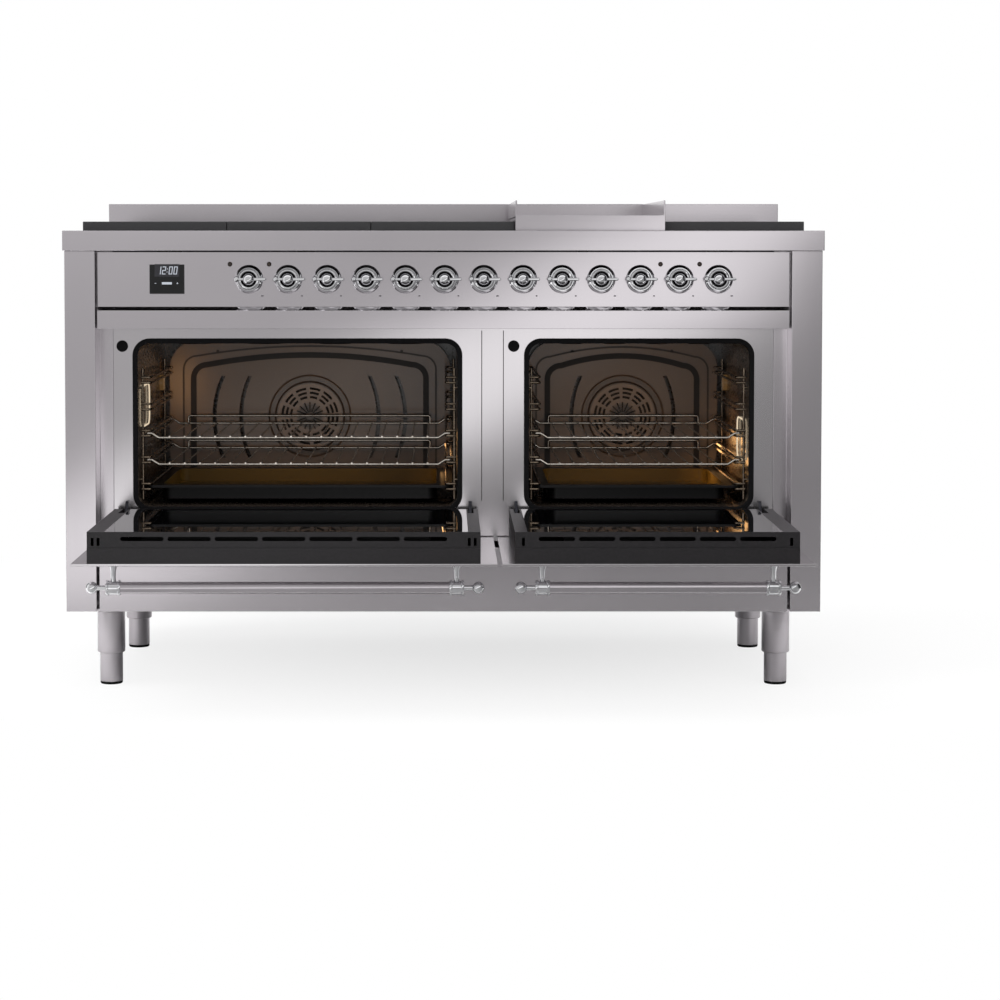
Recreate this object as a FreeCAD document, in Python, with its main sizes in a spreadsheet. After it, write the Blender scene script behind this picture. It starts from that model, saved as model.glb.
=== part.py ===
import FreeCAD, Part
import math
import os
import Sketcher

# Dual fuel range cooker, in millimetres, with both oven doors open as at rest.
# X runs to the right, Y runs to the back and Z runs up. The origin is on the floor,
# in the middle of the space that the cooker takes with its doors open.

vector = FreeCAD.Vector
doc = FreeCAD.newDocument("range_cooker")
sheet = doc.addObject("Spreadsheet::Sheet", "dims")

sizes = {
    # The whole cooker
    "overall_width": 1520, "overall_depth": 710, "worktop_height": 920, "body_inset": 2.5,
    "body_setback": 10, "body_back_gap": 10, "body_bottom": 155, "sheet_gauge": 2, "running_gap": 0.3,
    "cut_overrun": 5, "same_place": 0.001, "slot_end_share": 0.49,
    # Worktop pan
    "lip_height": 40, "rim_width": 24, "pan_depth": 18, "pan_corner": 30, "lip_round": 1.3,
    # Backguard
    "backguard_rise": 63, "backguard_depth": 20, "backguard_inset": 2, "backguard_slot_length": 90,
    "backguard_slot_height": 5, "backguard_slot_inset": 86, "backguard_slot_rise": 44,
    "backguard_side_slots": 6,
    # Side panels with their front pillars
    "pillar_width": 61, "pillar_depth": 68, "pillar_flange": 27.2,
    # Control panel and rail
    "panel_end_gap": 4.5, "panel_top_gap": 3, "panel_rise": 109, "panel_setback": 18, "panel_return": 40,
    "lug_depth": 12, "rail_rise": 44, "rail_slope": 8, "rail_depth": 56,
    # Knobs, bezels, lamps and clock
    "knobs": 13, "first_gas_knob": 2, "gas_knobs": 9, "knob_rise": 55, "knob_left_inset": 303,
    "knob_right_inset": 141.4, "spindle_radius": 4, "spindle_clearance": 0.9, "spindle_root": 4,
    "bezel_radius": 28.5, "bezel_depth": 7, "bezel_step": 3, "bezel_inner_radius": 23,
    "knob_radius": 20, "knob_depth": 13, "knob_crown": 5, "knob_skirt": 3, "lever_reach": 34,
    "crown_shoulder_share": 0.86, "crown_top_share": 0.5, "lever_tail": 24, "lever_width": 13,
    "lever_height": 15, "lever_taper_share": 0.7, "lever_standoff": 0.9, "lever_round": 3,
    "knob_bore_depth": 16, "lamp_radius": 4.5, "lamp_rise": 30, "lamp_proud": 3, "lamp_body": 22,
    "lamp_offset": 38, "lamp_stem_share": 0.8,
    "clock_inset": 139, "clock_width": 66.6, "clock_height": 55.7, "clock_depth": 38, "clock_proud": 3,
    # Oven fronts and openings
    "strip_left": 77.8, "strip_right": 121.6, "frame_bottom": 290, "frame_gap": 2,
    "opening_side": 49, "left_opening_inner": 49.4, "right_opening_inner": 51.9,
    "opening_bottom": 360, "opening_head": 30, "opening_corner": 24.5,
    "plug_radius": 11.7, "plug_drop": 5.5, "plug_inset": 31, "plug_proud": 2,
    "plug_stem": 6, "gasket_width": 10, "gasket_lead": 0.3,
    # Oven cavities, covers and rails
    "cavity_back_gap": 90, "cover_depth": 45, "cover_margin": 14, "cover_foot_margin": 12,
    "cover_gauge": 1.5, "cover_corner": 60, "cover_cut": 6,
    "fan_drop": 14, "rose_radius": 92, "rose_groove": 4, "rose_boss_radius": 74, "rose_rise": 1,
    "rose_slope": 4, "rose_lap": 2, "rose_first_ring": 42, "rose_ring_step": 9.5, "rose_rings": 3,
    "rose_slots": 12, "rose_slot_width": 5, "rose_slot_share": 0.74, "rose_rays": 16, "rose_ray_start": 9,
    "rose_ray_length": 22, "rose_ray_width": 3, "cover_slot_width": 9, "cover_slot_drop": 93,
    "cover_slot_rise": 89,
    "cover_slot_bow": 20, "left_slot_near": 148, "left_slot_far": 207, "right_slot_near": 109,
    "fan_radius": 66, "fan_depth": 24, "fan_hub_radius": 14, "fan_blades": 8, "fan_back_gap": 6,
    "fan_disc": 2, "fan_hub_recess": 6, "blade_start_share": 0.62,
    "motor_radius": 42, "motor_length": 60, "motor_shaft_radius": 5,
    "wire_radius": 2.5, "ladder_inset": 23, "ladder_front": 112, "ladder_back_gap": 30, "ladder_pitch": 54.5,
    "ladder_first": 38, "ladder_levels": 5, "ladder_gap": 6, "ladder_head": 52, "ladder_foot_gap": 12,
    "ladder_post_step": 17, "ladder_mount": 40, "ladder_overhang": 4, "ladder_bend": 6,
    "element_radius": 84, "element_tube": 3.5, "element_tail": 2.6, "grill_drop": 8,
    "grill_margin": 70, "grill_loops": 4,
    "grill_bend_share": 0.49,
    "oven_lamp_radius": 17, "oven_lamp_length": 8, "oven_lamp_back": 110, "oven_lamp_drop": 102,
    "oven_lamp_tail": 30,
    # Racks and trays
    "rack_step": 9, "rack_front": 108, "rack_back_gap": 25, "rack_wire_radius": 1.8, "rack_bar_radius": 2.4,
    "wing_clearance": 1, "upper_rack_level": 2, "lower_rack_level": 1, "rack_shoulder": 14, "rack_wing": 13,
    "rack_bend": 5, "rack_rear_rise": 16.5, "rack_rear_inset": 46,
    "left_rack_pitch": 31, "right_rack_pitch": 29,
    "tray_clear": 10, "tray_gauge": 1.6, "tray_wall_inset": 30, "tray_corner": 20,
    # Doors
    "hinge_depth": 38, "hinge_height": 324, "door_head_gap": 3, "door_tail": 24, "skin_drop": 30,
    "skin_gauge": 5, "skin_round": 2, "liner_tail": 14, "tier_split": 4, "door_thickness": 64,
    "tier_inset": 4,
    "liner_inset": 6, "liner_wall": 2, "hinge_cheek": 8, "door_side_gap": 2,
    "doors_meet": 105.5, "doors_gap": 8, "liner_side": 30.3, "left_liner_inner": 32.1,
    "right_liner_inner": 23.9,
    "glass_gauge": 4, "glass_seat": 9, "glass_side": 31.5, "glass_inner": 23.5,
    "window_side": 110, "window_top": 92, "window_foot": 92, "window_corner": 18, "window_lap": 14,
    "left_slot_length": 80.7, "left_slot_pitch": 88, "left_slots": 7, "right_slot_length": 67.5,
    "right_slot_pitch": 75, "right_slots": 6, "vent_height": 8, "vent_rise": 21, "vent_reach": 12,
    "side_slot_width": 5.5, "side_slot_height": 15,
    "side_slot_rise": 8, "side_slot_step": 11, "side_slot_inset": 15.7,
    "hinge_gauge": 6, "hinge_notch": 12, "hinge_boss": 9, "hinge_pin": 4, "hinge_pin_length": 23,
    "hinge_claw_top": 48, "hinge_claw_foot": 22, "hinge_reach": 62, "hinge_notch_depth": 12,
    "hinge_block_tail": 50,
    "hinge_outset": 22, "hinge_inner_outset": 26,
    # Handles
    "handle_drop": 45, "handle_inset": 40, "handle_radius": 11.5, "post_radius": 4.8, "collar_radius": 14.5,
    "collar_length": 28, "neck_radius": 4.5, "neck_length": 15, "handle_outer": 23,
    "handle_inner": 24.5, "post_foot_radius": 8,
    "post_foot_height": 3,
    # Storage drawer
    "drawer_end_gap": 5.5, "drawer_top": 283, "drawer_front_depth": 20, "drawer_box_inset": 46,
    "drawer_box_back_gap": 148, "drawer_box_floor": 172, "drawer_box_top": 266, "drawer_wall": 1.5,
    "runner_width": 12, "runner_floor": 196, "runner_back_gap": 40, "runner_side_gap": 2,
    "drawer_slide_gap": 0.4, "slide_depth": 12,
    # Legs and base
    "leg_inset": 81.5, "leg_front": 75, "leg_back_gap": 161, "sleeve_radius": 28, "tube_radius": 23,
    "sleeve_bottom": 64, "pad_height": 5, "pad_radius": 22, "leg_flange_radius": 34, "leg_flange": 3,
    "base_front": 34, "base_edge": 14,
    # Burners, pan supports and griddle
    "burner_front": 195, "burner_back_inset": 138, "burner_base_radius": 52, "burner_base_height": 11,
    "burner_cup_step": 2.75,
    "burner_crown_radius": 42, "burner_crown_height": 7, "burner_cap_radius": 38, "burner_cap_height": 5,
    "burner_teeth": 24, "burner_tooth_width": 2.5, "burner_tooth_depth": 3, "burner_throat_radius": 12,
    "burner_throat_length": 28,
    "support_margin": 9, "support_front": 60, "support_back_gap": 92,
    "support_lift": 18.5, "support_gap": 1, "support_bar": 11, "support_height": 19,
    "support_foot": 14, "finger_clear": 26, "finger_share": 0.4, "finger_height": 12, "supports_left": 3,
    "griddle_side": 314, "griddle_width": 301, "griddle_front": 45,
    "griddle_back_gap": 115, "griddle_lift": 31, "griddle_apron": 44, "griddle_gauge": 10,
    "griddle_wall": 3, "griddle_rise": 30,
    "griddle_leg": 20, "griddle_trough": 34, "griddle_trough_depth": 6,
    "griddle_trough_inset": 10, "griddle_burner_radius": 13, "griddle_seat_radius": 24,
    "griddle_burner_length": 380, "griddle_burner_drop": 29,
    # Gas supply
    "manifold_radius": 8, "manifold_depth": 84, "manifold_bend": 24, "manifold_overhang": 16,
    "valve_radius": 15, "switch_radius": 19, "switch_depth": 34, "inlet_radius": 10.5,
    "inlet_length": 22, "inlet_proud": 26, "inlet_inset": 117.5,
    # Back panel
    "back_sheet_inset": 20, "vent_slot_length": 60, "vent_slot_width": 6, "vent_slot_pitch": 22,
    "vent_columns": 6, "vent_rows": 5,
    "vent_column_pitch": 90, "vent_first_height": 560, "wall_bolt_radius": 4.2, "wall_bolt_inset": 157.5,
    "wall_bolt_drop": 80,
}


class Size:
    """A length that carries its formula for the document and its value for shapes made in code."""

    def __init__(self, text, value):
        self.text = text
        self.value = value

    def __add__(self, other):
        other = sized(other)
        return Size(f"({self.text} + {other.text})", self.value + other.value)

    def __sub__(self, other):
        other = sized(other)
        return Size(f"({self.text} - {other.text})", self.value - other.value)

    def __rsub__(self, other):
        return sized(other) - self

    def __mul__(self, other):
        other = sized(other)
        return Size(f"({self.text} * {other.text})", self.value * other.value)

    def __truediv__(self, other):
        other = sized(other)
        return Size(f"({self.text} / {other.text})", self.value / other.value)

    def __neg__(self):
        return Size(f"(-{self.text})", -self.value)

    def __float__(self):
        return float(self.value)

    __radd__ = __add__
    __rmul__ = __mul__


def sized(value):
    if isinstance(value, Size):
        return value
    return Size(repr(value), value)


for row, (name, number) in enumerate(sizes.items(), start=1):
    sheet.set(f"A{row}", name)
    sheet.set(f"B{row}", str(number))
    sheet.setAlias(f"B{row}", name)
doc.recompute()


def dim(name):
    return Size(f"dims.{name}", float(sheet.get(name)))


def bind(item, prop, value):
    item.setExpression(prop, sized(value).text)


def count(name):
    return int(sheet.get(name))


nodes = []


def finish_node(item, label):
    item.Label = label
    nodes.append((label, item))
    return item


# Shared places. A depth is counted back from the worktop's front lip.
gauge = dim("sheet_gauge")
gap = dim("running_gap")
over = dim("cut_overrun")
same = float(dim("same_place"))
# Across
worktop_half = dim("overall_width") / 2
body_half = worktop_half - dim("body_inset")
pillar_inner = body_half - dim("pillar_width")
panel_half = pillar_inner - dim("panel_end_gap")
frame_end = pillar_inner - dim("pillar_flange") - gap
drawer_half = pillar_inner - dim("drawer_end_gap")
drawer_box_half = drawer_half - dim("drawer_box_inset")
griddle_end = worktop_half - dim("griddle_side")
griddle_start = griddle_end - dim("griddle_width")
support_start = -(worktop_half - dim("rim_width") - dim("support_margin"))
# Up
pan_floor = dim("worktop_height") - dim("pan_depth")
panel_bottom = dim("worktop_height") - dim("lip_height") - dim("panel_top_gap") - dim("panel_rise")
rail_bottom = panel_bottom - dim("rail_rise")
knob_height = panel_bottom + dim("knob_rise")
lamp_height = knob_height + dim("lamp_rise")
frame_top = rail_bottom - dim("frame_gap")
opening_bottom = dim("opening_bottom")
opening_top = frame_top - dim("opening_head")
plug_height = opening_top - dim("plug_drop")
fan_height = (opening_bottom + opening_top) / 2 - dim("fan_drop")
ladder_bottom = opening_bottom + dim("ladder_first")
oven_lamp_height = opening_top - dim("oven_lamp_drop")
griddle_floor = dim("worktop_height") + dim("griddle_lift")
# Back
frame_plane = dim("body_setback") + dim("pillar_depth")
body_back = dim("overall_depth") - dim("body_back_gap")
back_plane = body_back - dim("back_sheet_inset")
cavity_back = back_plane - dim("cavity_back_gap")
cover_plane = cavity_back - dim("cover_depth")
rack_back = cover_plane - dim("rack_back_gap")
oven_lamp_depth = cavity_back - dim("oven_lamp_back")
support_back = dim("overall_depth") - dim("support_back_gap")
burner_depths = (dim("burner_front"), support_back - dim("burner_back_inset"))
griddle_back = dim("overall_depth") - dim("griddle_back_gap")
# Doors
door_rise = rail_bottom - dim("door_head_gap") - dim("hinge_height")
door_reach = door_rise - dim("hinge_depth")
lip_y = -(dim("overall_depth") - door_reach) / 2
hinge_y = lip_y + dim("hinge_depth")
hinge_z = dim("hinge_height")
skin_bottom = hinge_z - dim("skin_drop")
skin_top = skin_bottom + dim("skin_gauge")
door_top = skin_bottom + dim("door_thickness")
tier_z = hinge_z + dim("tier_split")
door_front = hinge_y - door_rise


def depth(value):
    return lip_y + value


def box(name, low, high):
    item = doc.addObject("Part::Box", name)
    for prop, start, end in zip(("Length", "Width", "Height"), low, high):
        bind(item, prop, sized(end) - start)
    for axis, start in zip("xyz", low):
        bind(item, f"Placement.Base.{axis}", start)
    return item


rod_turns = {
    "x": FreeCAD.Rotation(vector(0, 1, 0), 90),
    "y": FreeCAD.Rotation(vector(1, 0, 0), -90),
    "z": FreeCAD.Rotation(),
}


def rod(name, start, radius, length, axis):
    item = doc.addObject("Part::Cylinder", name)
    bind(item, "Radius", radius)
    bind(item, "Height", length)
    item.Placement = FreeCAD.Placement(vector(), rod_turns[axis])
    for letter, value in zip("xyz", start):
        bind(item, f"Placement.Base.{letter}", value)
    return item


def fused(name, items):
    item = doc.addObject("Part::MultiFuse", name)
    item.Shapes = items
    return item


def cut(name, base, tools):
    item = doc.addObject("Part::Cut", name)
    item.Base = base
    item.Tool = tools[0] if len(tools) == 1 else fused(f"{name}_tools", tools)
    return item


def group(label, items):
    item = doc.addObject("Part::Compound", label)
    item.Links = items
    return finish_node(item, label)


def feature(name, shape):
    item = doc.addObject("Part::Feature", name)
    item.Shape = shape
    return item


def mirrored(name, source):
    item = doc.addObject("Part::Mirroring", name)
    item.Source = source
    item.Normal = vector(1, 0, 0)
    return item


def new_body(name):
    return doc.addObject("PartDesign::Body", name)


def plane_of(body, role):
    return next(item for item in body.Origin.OriginFeatures if item.Role == role)


def new_sketch(body, role, offset=0):
    sketch = body.newObject("Sketcher::SketchObject", f"{body.Name}_sketch")
    sketch.AttachmentSupport = [(plane_of(body, role), "")]
    sketch.MapMode = "FlatFace"
    bind(sketch, "AttachmentOffset.Base.z", offset)
    return sketch


def place_point(sketch, geometry, end, point):
    for kind, value in zip(("DistanceX", "DistanceY"), point):
        number = sketch.addConstraint(Sketcher.Constraint(kind, geometry, end, float(sized(value))))
        sketch.setExpression(f"Constraints[{number}]", sized(value).text)


def outline(sketch, points):
    """A closed outline of straight lines, each corner held at its own named place."""
    places = [vector(float(sized(x)), float(sized(y)), 0) for x, y in points]
    first = sketch.GeometryCount
    total = len(points)
    for number, start in enumerate(places):
        sketch.addGeometry(Part.LineSegment(start, places[(number + 1) % total]))
    for number in range(total):
        following = first + (number + 1) % total
        sketch.addConstraint(Sketcher.Constraint("Coincident", first + number, 2, following, 1))
    for number, point in enumerate(points):
        place_point(sketch, first + number, 1, point)


def circle(sketch, centre, radius):
    middle = vector(float(sized(centre[0])), float(sized(centre[1])), 0)
    number = sketch.addGeometry(Part.Circle(middle, vector(0, 0, 1), float(radius)))
    place_point(sketch, number, 3, centre)
    size = sketch.addConstraint(Sketcher.Constraint("Radius", number, float(radius)))
    sketch.setExpression(f"Constraints[{size}]", radius.text)


def rectangle(low, high):
    return [(low[0], low[1]), (high[0], low[1]), (high[0], high[1]), (low[0], high[1])]


def pad(body, sketch, length, back=False):
    item = body.newObject("PartDesign::Pad", f"{body.Name}_pad")
    item.Profile = sketch
    bind(item, "Length", length)
    item.Reversed = back
    return item


def pocket(body, sketch, length, back=False):
    doc.recompute()
    before = body.Shape.Volume
    item = body.newObject("PartDesign::Pocket", f"{body.Name}_pocket")
    item.Profile = sketch
    bind(item, "Length", length)
    item.Reversed = back
    doc.recompute()
    if item.Shape.Volume >= before:
        raise RuntimeError(f"{item.Name} cut nothing")
    return item


def prism(name, role, points, start, length):
    """One straight length of a folded section."""
    body = new_body(name)
    sketch = new_sketch(body, role, start)
    outline(sketch, points)
    pad(body, sketch, length)
    return body


def turned(name, role, points):
    """A turned piece: its section lies to the right of the axis that it is turned about."""
    body = new_body(name)
    sketch = new_sketch(body, role)
    outline(sketch, points)
    item = body.newObject("PartDesign::Revolution", f"{name}_turning")
    item.Profile = sketch
    item.ReferenceAxis = (sketch, ["V_Axis"])
    item.Angle = 360
    return body


def move_to(item, place):
    for letter, value in zip("xyz", place):
        bind(item, f"Placement.Base.{letter}", value)
    return item


def round_edges(body, radius, wanted):
    """Rounds the edges of a body's last feature that the test picks out."""
    doc.recompute()
    base = body.Tip
    names = [f"Edge{n}" for n, edge in enumerate(base.Shape.Edges, start=1) if wanted(edge)]
    item = body.newObject("PartDesign::Fillet", f"{body.Name}_round")
    item.Base = (base, names)
    bind(item, "Radius", radius)
    return item


def rounded_loop(low, high, corner, place):
    """A wire round a rectangle with rounded corners; place turns its two ways into a point."""
    (left, bottom), (right, top) = low, high
    half = math.sqrt(0.5)
    spots = [(left + corner, bottom), (right - corner, bottom), (right, bottom + corner),
             (right, top - corner), (right - corner, top), (left + corner, top),
             (left, top - corner), (left, bottom + corner)]
    middles = [(right - corner, bottom + corner, 1, -1), (right - corner, top - corner, 1, 1),
               (left + corner, top - corner, -1, 1), (left + corner, bottom + corner, -1, -1)]
    points = [place(a, b) for a, b in spots]
    edges = []
    for side in range(4):
        start, end = points[2 * side], points[2 * side + 1]
        edges.append(Part.LineSegment(start, end).toShape())
        a, b, way_a, way_b = middles[side]
        through = place(a + way_a * corner * half, b + way_b * corner * half)
        following = points[(2 * side + 2) % 8]
        edges.append(Part.Arc(end, through, following).toShape())
    return Part.Wire(edges)


def rounded_block(low, high, corner, axis):
    """A block with four rounded corners, its square ends across the given axis."""
    order = {"y": (0, 2, 1), "z": (0, 1, 2)}[axis]
    low = [float(sized(value)) for value in low]
    high = [float(sized(value)) for value in high]
    across = [low[n] for n in order], [high[n] for n in order]

    def place(a, b):
        point = [0, 0, 0]
        point[order[0]], point[order[1]], point[order[2]] = a, b, across[0][2]
        return vector(*point)

    loop = rounded_loop(across[0][:2], across[1][:2], float(corner), place)
    run = [0, 0, 0]
    run[order[2]] = across[1][2] - across[0][2]
    return Part.Face(loop).extrude(vector(*run))


def bent_wire(points, bend, radius):
    """A round wire along straight runs joined by arcs of one bend radius."""
    spots = [vector(*(float(sized(value)) for value in point)) for point in points]
    bend = float(bend)
    edges = []
    start = spots[0]
    for before, corner, after in zip(spots, spots[1:], spots[2:]):
        arriving = (before - corner).normalize()
        leaving = (after - corner).normalize()
        half_angle = arriving.getAngle(leaving) / 2
        trim = bend / math.tan(half_angle)
        middle = corner + (arriving + leaving).normalize() * (bend / math.sin(half_angle))
        first = corner + arriving * trim
        last = corner + leaving * trim
        through = middle + (corner - middle).normalize() * bend
        edges.append(Part.LineSegment(start, first).toShape())
        edges.append(Part.Arc(first, through, last).toShape())
        start = last
    edges.append(Part.LineSegment(start, spots[-1]).toShape())
    path = Part.Wire(edges)
    ring = Part.Wire(Part.Circle(spots[0], spots[1] - spots[0], float(radius)).toShape())
    return path.makePipeShell([ring], True, False)


def worktop():
    """A pressed pan inside a flat rim, over a deep front lip."""
    half = worktop_half
    top = dim("worktop_height")
    bottom = top - dim("lip_height")
    body = new_body("worktop")
    sketch = new_sketch(body, "XY_Plane", bottom)
    outline(sketch, rectangle((-half, lip_y), (half, depth(dim("overall_depth")))))
    pad(body, sketch, dim("lip_height"))
    inner = new_sketch(body, "XY_Plane", bottom)
    outline(inner, rectangle((-half + gauge, lip_y + gauge),
                             (half - gauge, depth(dim("overall_depth")) - gauge)))
    pocket(body, inner, dim("lip_height") - gauge, back=True)
    front = float(lip_y)
    high = float(top)

    def top_front(edge):
        return all(abs(v.Y - front) < same and abs(v.Z - high) < same for v in edge.Vertexes)

    round_edges(body, dim("lip_round"), top_front)
    rim = dim("rim_width")
    back = depth(dim("overall_depth")) - dim("backguard_depth") - rim
    low = (-half + rim, lip_y + rim)
    high_corner = (half - rim, back)
    hole = feature("pan_opening", rounded_block((*low, top - dim("pan_depth")), (*high_corner, top + over),
                                                dim("pan_corner"), "z"))
    wall = dim("sheet_gauge")
    outer = feature("pan_outside", rounded_block(
        (low[0] - wall, low[1] - wall, pan_floor - wall),
        (high_corner[0] + wall, high_corner[1] + wall, top - wall / 2), dim("pan_corner") + wall, "z"))
    joined = fused("worktop_with_pan", [body, outer])
    holes = [hole]
    for x, y in burner_places() + [griddle_burner_place()]:
        holes.append(rod("burner_hole", (x, y, pan_floor - over), dim("burner_throat_radius") + gap,
                         over + over, "z"))
    return finish_node(cut("worktop_pressed", joined, holes), "worktop")


def griddle_burner_place():
    return (griddle_start + griddle_end) / 2, depth((dim("griddle_front") + griddle_back) / 2)


def backguard():
    """A folded upstand along the back, with a row of vent slots."""
    half = worktop_half - dim("backguard_inset")
    top = dim("worktop_height")
    front = depth(dim("overall_depth") - dim("backguard_depth"))
    back = depth(dim("overall_depth"))
    high = top + dim("backguard_rise")
    section = [(front, top), (front, high), (back, high), (back, top), (back - gauge, top),
               (back - gauge, high - gauge), (front + gauge, high - gauge), (front + gauge, top)]
    body = prism("backguard_fold", "YZ_Plane", section, -half, half + half)
    slots = []
    per_side = count("backguard_side_slots")
    pitch = (half - dim("backguard_slot_inset")) / per_side
    for step in range(-per_side, per_side + 1):
        centre = pitch * step
        reach = dim("backguard_slot_length") / 2
        low = top + dim("backguard_slot_rise")
        slots.append(box("backguard_slot", (centre - reach, back - gauge - over, low),
                         (centre + reach, back + over, low + dim("backguard_slot_height"))))
    return finish_node(cut("backguard_slotted", body, slots), "backguard")


def side_panels():
    """Folded sheets: outer wall, front pillar, its side wall and the flange beside the oven front."""
    outer = body_half
    front = depth(dim("body_setback"))
    back = depth(body_back)
    pillar = pillar_inner
    plane = depth(frame_plane)
    flange = pillar - dim("pillar_flange")
    section = [(outer, back), (outer, front), (pillar, front), (pillar, plane), (flange, plane),
               (flange, plane + gauge), (pillar + gauge, plane + gauge), (pillar + gauge, front + gauge),
               (outer - gauge, front + gauge), (outer - gauge, back)]
    bottom = dim("body_bottom")
    rise = dim("worktop_height") - dim("lip_height") - bottom
    right = prism("right_side", "XY_Plane", section, bottom, rise)
    return group("side_panels", [right, mirrored("left_side", right)])


def control_panel():
    """A folded fascia with holes for the spindles, the lamps and the clock."""
    half = panel_half
    front = depth(dim("panel_setback"))
    low = panel_bottom
    high = low + dim("panel_rise")
    back = front + dim("panel_return")
    section = [(front, low), (front, high), (back, high), (back, high - gauge),
               (front + gauge, high - gauge), (front + gauge, low + gauge), (back, low + gauge), (back, low)]
    body = fused("control_fascia_joined",
                 [prism("control_fascia", "YZ_Plane", section, -half, half + half)]
                 + end_lugs("panel_lug", half, back, low, high))
    tools = []
    for x in knob_places():
        tools.append(rod("spindle_hole", (x, front - over, knob_height),
                         dim("spindle_radius") + dim("spindle_clearance"), over + over, "y"))
    for x in lamp_places():
        tools.append(rod("lamp_hole", (x, front - over, lamp_height),
                         dim("lamp_radius") + gap, over + over, "y"))
    low_corner, high_corner = clock_corners(gap)
    tools.append(box("clock_opening", (low_corner[0], front - over, low_corner[1]),
                     (high_corner[0], front + over, high_corner[1])))
    return finish_node(cut("control_fascia_cut", body, tools), "control_panel")


def end_lugs(name, half, back, low, high):
    """Short tongues at both ends that reach the pillars' side walls."""
    reach = pillar_inner - gap
    near = back - dim("lug_depth")
    return [box(name, (-reach, near, low), (-half, back, high)),
            box(name, (half, near, low), (reach, back, high))]


def knob_places():
    """An even row between the clock and the right end of the panel."""
    first = -panel_half + dim("knob_left_inset")
    last = panel_half - dim("knob_right_inset")
    total = count("knobs")
    return [first + (last - first) * step / (total - 1) for step in range(total)]


def gas_places():
    first = count("first_gas_knob")
    return knob_places()[first:first + count("gas_knobs")]


def oven_places():
    """The knobs of the two ovens, at both ends of the row."""
    first = count("first_gas_knob")
    places = knob_places()
    return places[:first] + places[first + count("gas_knobs"):]


def lamp_places():
    """A lamp up on the left of each oven knob."""
    return [place - dim("lamp_offset") for place in oven_places()]


def clock_corners(clearance):
    half_width = dim("clock_width") / 2 + clearance
    half_height = dim("clock_height") / 2 + clearance
    x = -panel_half + dim("clock_inset")
    z = knob_height
    return (x - half_width, z - half_height), (x + half_width, z + half_height)


def front_rail():
    """A folded rail under the control panel, its top edge sloped up to the panel."""
    half = panel_half
    front = depth(dim("body_setback"))
    panel_front = depth(dim("panel_setback"))
    back = front + dim("rail_depth")
    low = rail_bottom
    flat = panel_bottom - dim("rail_slope")
    high = panel_bottom
    section = [(front, low), (front, flat), (panel_front, high), (back, high), (back, high - gauge),
               (panel_front + gauge / 2, high - gauge), (front + gauge, flat - gauge / 2),
               (front + gauge, low + gauge), (back, low + gauge), (back, low)]
    fold = prism("front_rail_fold", "YZ_Plane", section, -half, half + half)
    return finish_node(fused("front_rail_joined", [fold] + end_lugs("rail_lug", half, back, low, high)),
                       "front_rail")


def opening_ends(side):
    """The oven mouths run from the frames' outer ends to the strip between the ovens."""
    outer = frame_end - dim("opening_side")
    inner = dim(f"{side}_opening_inner")
    return {"left": (-outer, dim("strip_left") - inner), "right": (dim("strip_right") + inner, outer)}[side]


def fan_place(side):
    first, last = opening_ends(side)
    return (first + last) / 2


def hinge_places(side):
    """The hinges stand just beyond both sides of the mouth."""
    first, last = opening_ends(side)
    outer = dim("hinge_outset")
    inner = dim("hinge_inner_outset")
    return {"left": [last + inner, first - outer], "right": [first - inner, last + outer]}[side]


def oven_fronts():
    """Two bright frames round the oven mouths and the plain strip between them."""
    plane = depth(frame_plane)
    low = dim("frame_bottom")
    high = frame_top
    end = frame_end
    spans = {"left": (-end, dim("strip_left")), "right": (dim("strip_right"), end)}
    pieces = []
    for side, (start, stop) in spans.items():
        plate = box(f"{side}_front_plate", (start, plane, low), (stop, plane + gauge, high))
        first, last = opening_ends(side)
        mouth = feature(f"{side}_mouth", rounded_block(
            (first, plane - over, opening_bottom), (last, plane + over, opening_top),
            dim("opening_corner"), "y"))
        plug_x = first - dim("plug_inset")
        plug_hole = rod(f"{side}_plug_hole", (plug_x, plane - over, plug_height),
                        dim("plug_radius") / 2, over + over, "y")
        pieces.append(cut(f"{side}_front_frame", plate, [mouth, plug_hole]))
    strip = box("strip_plate", (dim("strip_left"), plane - gauge / 2, low),
                (dim("strip_right"), plane + gauge, high))
    return group("oven_fronts", pieces + [strip])


def frame_plugs():
    """A round black plug in the top corner of each oven front."""
    plane = depth(frame_plane)
    pieces = []
    for side in ("left", "right"):
        x = opening_ends(side)[0] - dim("plug_inset")
        head = rod(f"{side}_plug_head", (x, plane - dim("plug_proud"), plug_height),
                   dim("plug_radius"), dim("plug_proud"), "y")
        stem = rod(f"{side}_plug_stem", (x, plane, plug_height),
                   dim("plug_radius") / 2 - gap / 2, dim("plug_stem"), "y")
        pieces.append(fused(f"{side}_plug", [head, stem]))
    return pieces


def door_gaskets():
    """A soft frame round each oven mouth that the closed door nearly touches."""
    plane = depth(frame_plane)
    front = hinge_y - dim("skin_drop") + dim("door_thickness") + dim("gasket_lead")
    width = dim("gasket_width")
    pieces = []
    for side in ("left", "right"):
        first, last = opening_ends(side)
        low = opening_bottom
        high = opening_top
        outer = feature(f"{side}_gasket_outside", rounded_block(
            (first - width, front, low - width), (last + width, plane, high + width),
            dim("opening_corner") + width, "y"))
        inner = feature(f"{side}_gasket_inside", rounded_block(
            (first, front - over, low), (last, plane + over, high), dim("opening_corner"), "y"))
        pieces.append(cut(f"{side}_gasket", outer, [inner]))
    return group("door_gaskets", pieces + frame_plugs())


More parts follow.
